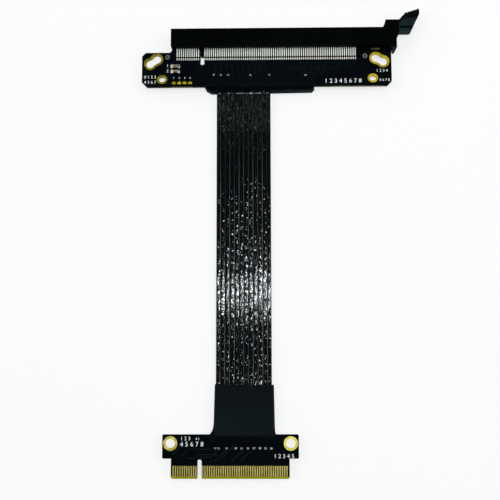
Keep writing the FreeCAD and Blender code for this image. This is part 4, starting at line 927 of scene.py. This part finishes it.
edge_lines = [
    [(-28.1, -186.6), (-31.6, -189.9)],
    [(-14.5, -187.6), (-24.6, -187.6), (-27.4, -190.5)],
    [(-11.8, -189.9), (-20.0, -189.9), (-21.5, -191.6), (-25.0, -191.6)],
    [(-3.5, -185.4), (-10.9, -192.5)],
    [(-7.3, -187.6), (-13.1, -192.9)],
    [(0.0, -188.0), (-3.2, -190.5), (-5.6, -193.1)],
    [(2.9, -188.5), (-1.4, -192.9)],
    [(-13.6, -192.5), (-15.0, -193.4)],
    [(-11.8, -188.4), (-14.5, -191.1), (-19.4, -191.1)]]
slot_lines = [
    [(-15 + 2.6 * i, -10.9), (-13 + 2.6 * i, -12.9), (-13 + 2.6 * i, -16.2), (-11 + 2.6 * i, -18.2)]
    for i in range(10)]
slot_lines += [
    [(52 - 3.1 * i, -10.9), (48.6 - 3.1 * i, -14.2), (45 - 3.1 * i, -14.2), (41.5 - 3.1 * i, -17.6)]
    for i in range(9)]
TRACK_WIDE, TRACK_HIGH = 0.22 * MM, 0.05 * MM
slot_low, slot_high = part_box("slot_board")
for board, lines, top, under in (("slot", slot_lines, slot_high[2], slot_low[2]),
                                 ("edge", edge_lines, BOARD_TOP * MM, BOARD_UNDER * MM)):
    for side, height in (("front", top), ("back", under)):
        corners = [(x * MM, y * MM, height) for line in lines for x, y in line]
        joins, at = [], 0
        for line in lines:
            joins += [(at + i, at + i + 1) for i in range(len(line) - 1)]
            at += len(line)
        plan = bpy.data.meshes.new("track_plan")
        plan.from_pydata(corners, joins, [])
        relief = grow(f"{board}_tracks_{side}", tracks, plan, Wide=TRACK_WIDE, High=TRACK_HIGH,
                      Finish=raised_mask)
        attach(relief, "extension")


# Printed numbers: plain white pin and place numbers, screen printed on the mask of both boards.

INK_THICK = 0.008

white_ink, tree, shader, patches = skinned_finish(
    "white_board_ink", 5000.0, 900.0, Roughness=0.55, Specular_IOR_Level=0.2)
feed(shader, Base_Color=blend_colours(tree, patches, (0.78, 0.80, 0.80), (0.95, 0.97, 0.97)))


def print_numbers(name, height, marks):
    """One thin mesh of numbers, each with its left end, foot and size in millimetres."""
    sheet = bmesh.new()
    for body, x, y, size in marks:
        figure = bpy.data.curves.new(name, "FONT")
        figure.body = body
        figure.size = size * MM
        figure.extrude = INK_THICK * MM
        figure.resolution_u = 2
        holder = add_object(name, figure)
        bpy.context.view_layer.update()
        edge_tone = bpy.data.meshes.new_from_object(holder)
        edge_tone.transform(Matrix.Translation((x * MM, y * MM, height)))
        sheet.from_mesh(edge_tone)
        bpy.data.objects.remove(holder)
    mesh = bpy.data.meshes.new(name)
    sheet.to_mesh(mesh)
    sheet.free()
    mesh.materials.clear()
    mesh.materials.append(white_ink)
    piece = add_object(name, mesh)
    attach(piece, "extension")


print_numbers("slot_board_numbers", slot_high[2] + INK_THICK * MM, [
    ("1", -35.9, -13.2, 2.0), ("2", -35.9, -15.7, 2.0), ("1", -32.8, -18.9, 1.3), ("2", -30.2, -18.9, 1.3),
    ("3", -27.7, -18.9, 1.3), ("4", -25.2, -18.9, 1.3), ("0 1 2 3", -46.3, -18.6, 2.0),
    ("4 5 6 7", -46.3, -21.1, 2.0), ("17", -14.4, -17.5, 1.0), ("21", -11.0, -17.5, 1.0),
    ("24", -7.6, -17.5, 1.0), ("33", 2.7, -17.6, 1.0), ("42", 11.4, -17.6, 1.0), ("59", 28.3, -17.8, 1.0),
    ("1 2 3 4 5 6 7 8", 37.6, -21.3, 2.9), ("1 2 3 4", 61.6, -16.2, 1.9), ("5 6 7 8", 63.0, -20.6, 1.7)])
print_numbers("edge_board_numbers", (BOARD_TOP + INK_THICK) * MM, [
    ("1 2 3", -28.0, -183.7, 2.2), ("4 5", -21.4, -183.6, 1.4), ("4 5 6 7 8", -28.2, -186.4, 2.9),
    ("1 2 3 4 5", 13.2, -191.4, 2.5), ("11 12", -13.2, -187.6, 1.1), ("15", -8.2, -187.6, 1.1),
    ("18", -4.2, -187.6, 1.1), ("21", -1.5, -187.6, 1.1), ("24", 1.2, -187.6, 1.1), ("27", 3.9, -187.6, 1.1),
    ("30", 6.5, -187.6, 1.1), ("33", 9.0, -187.6, 1.1), ("36", 11.6, -187.6, 1.1)])
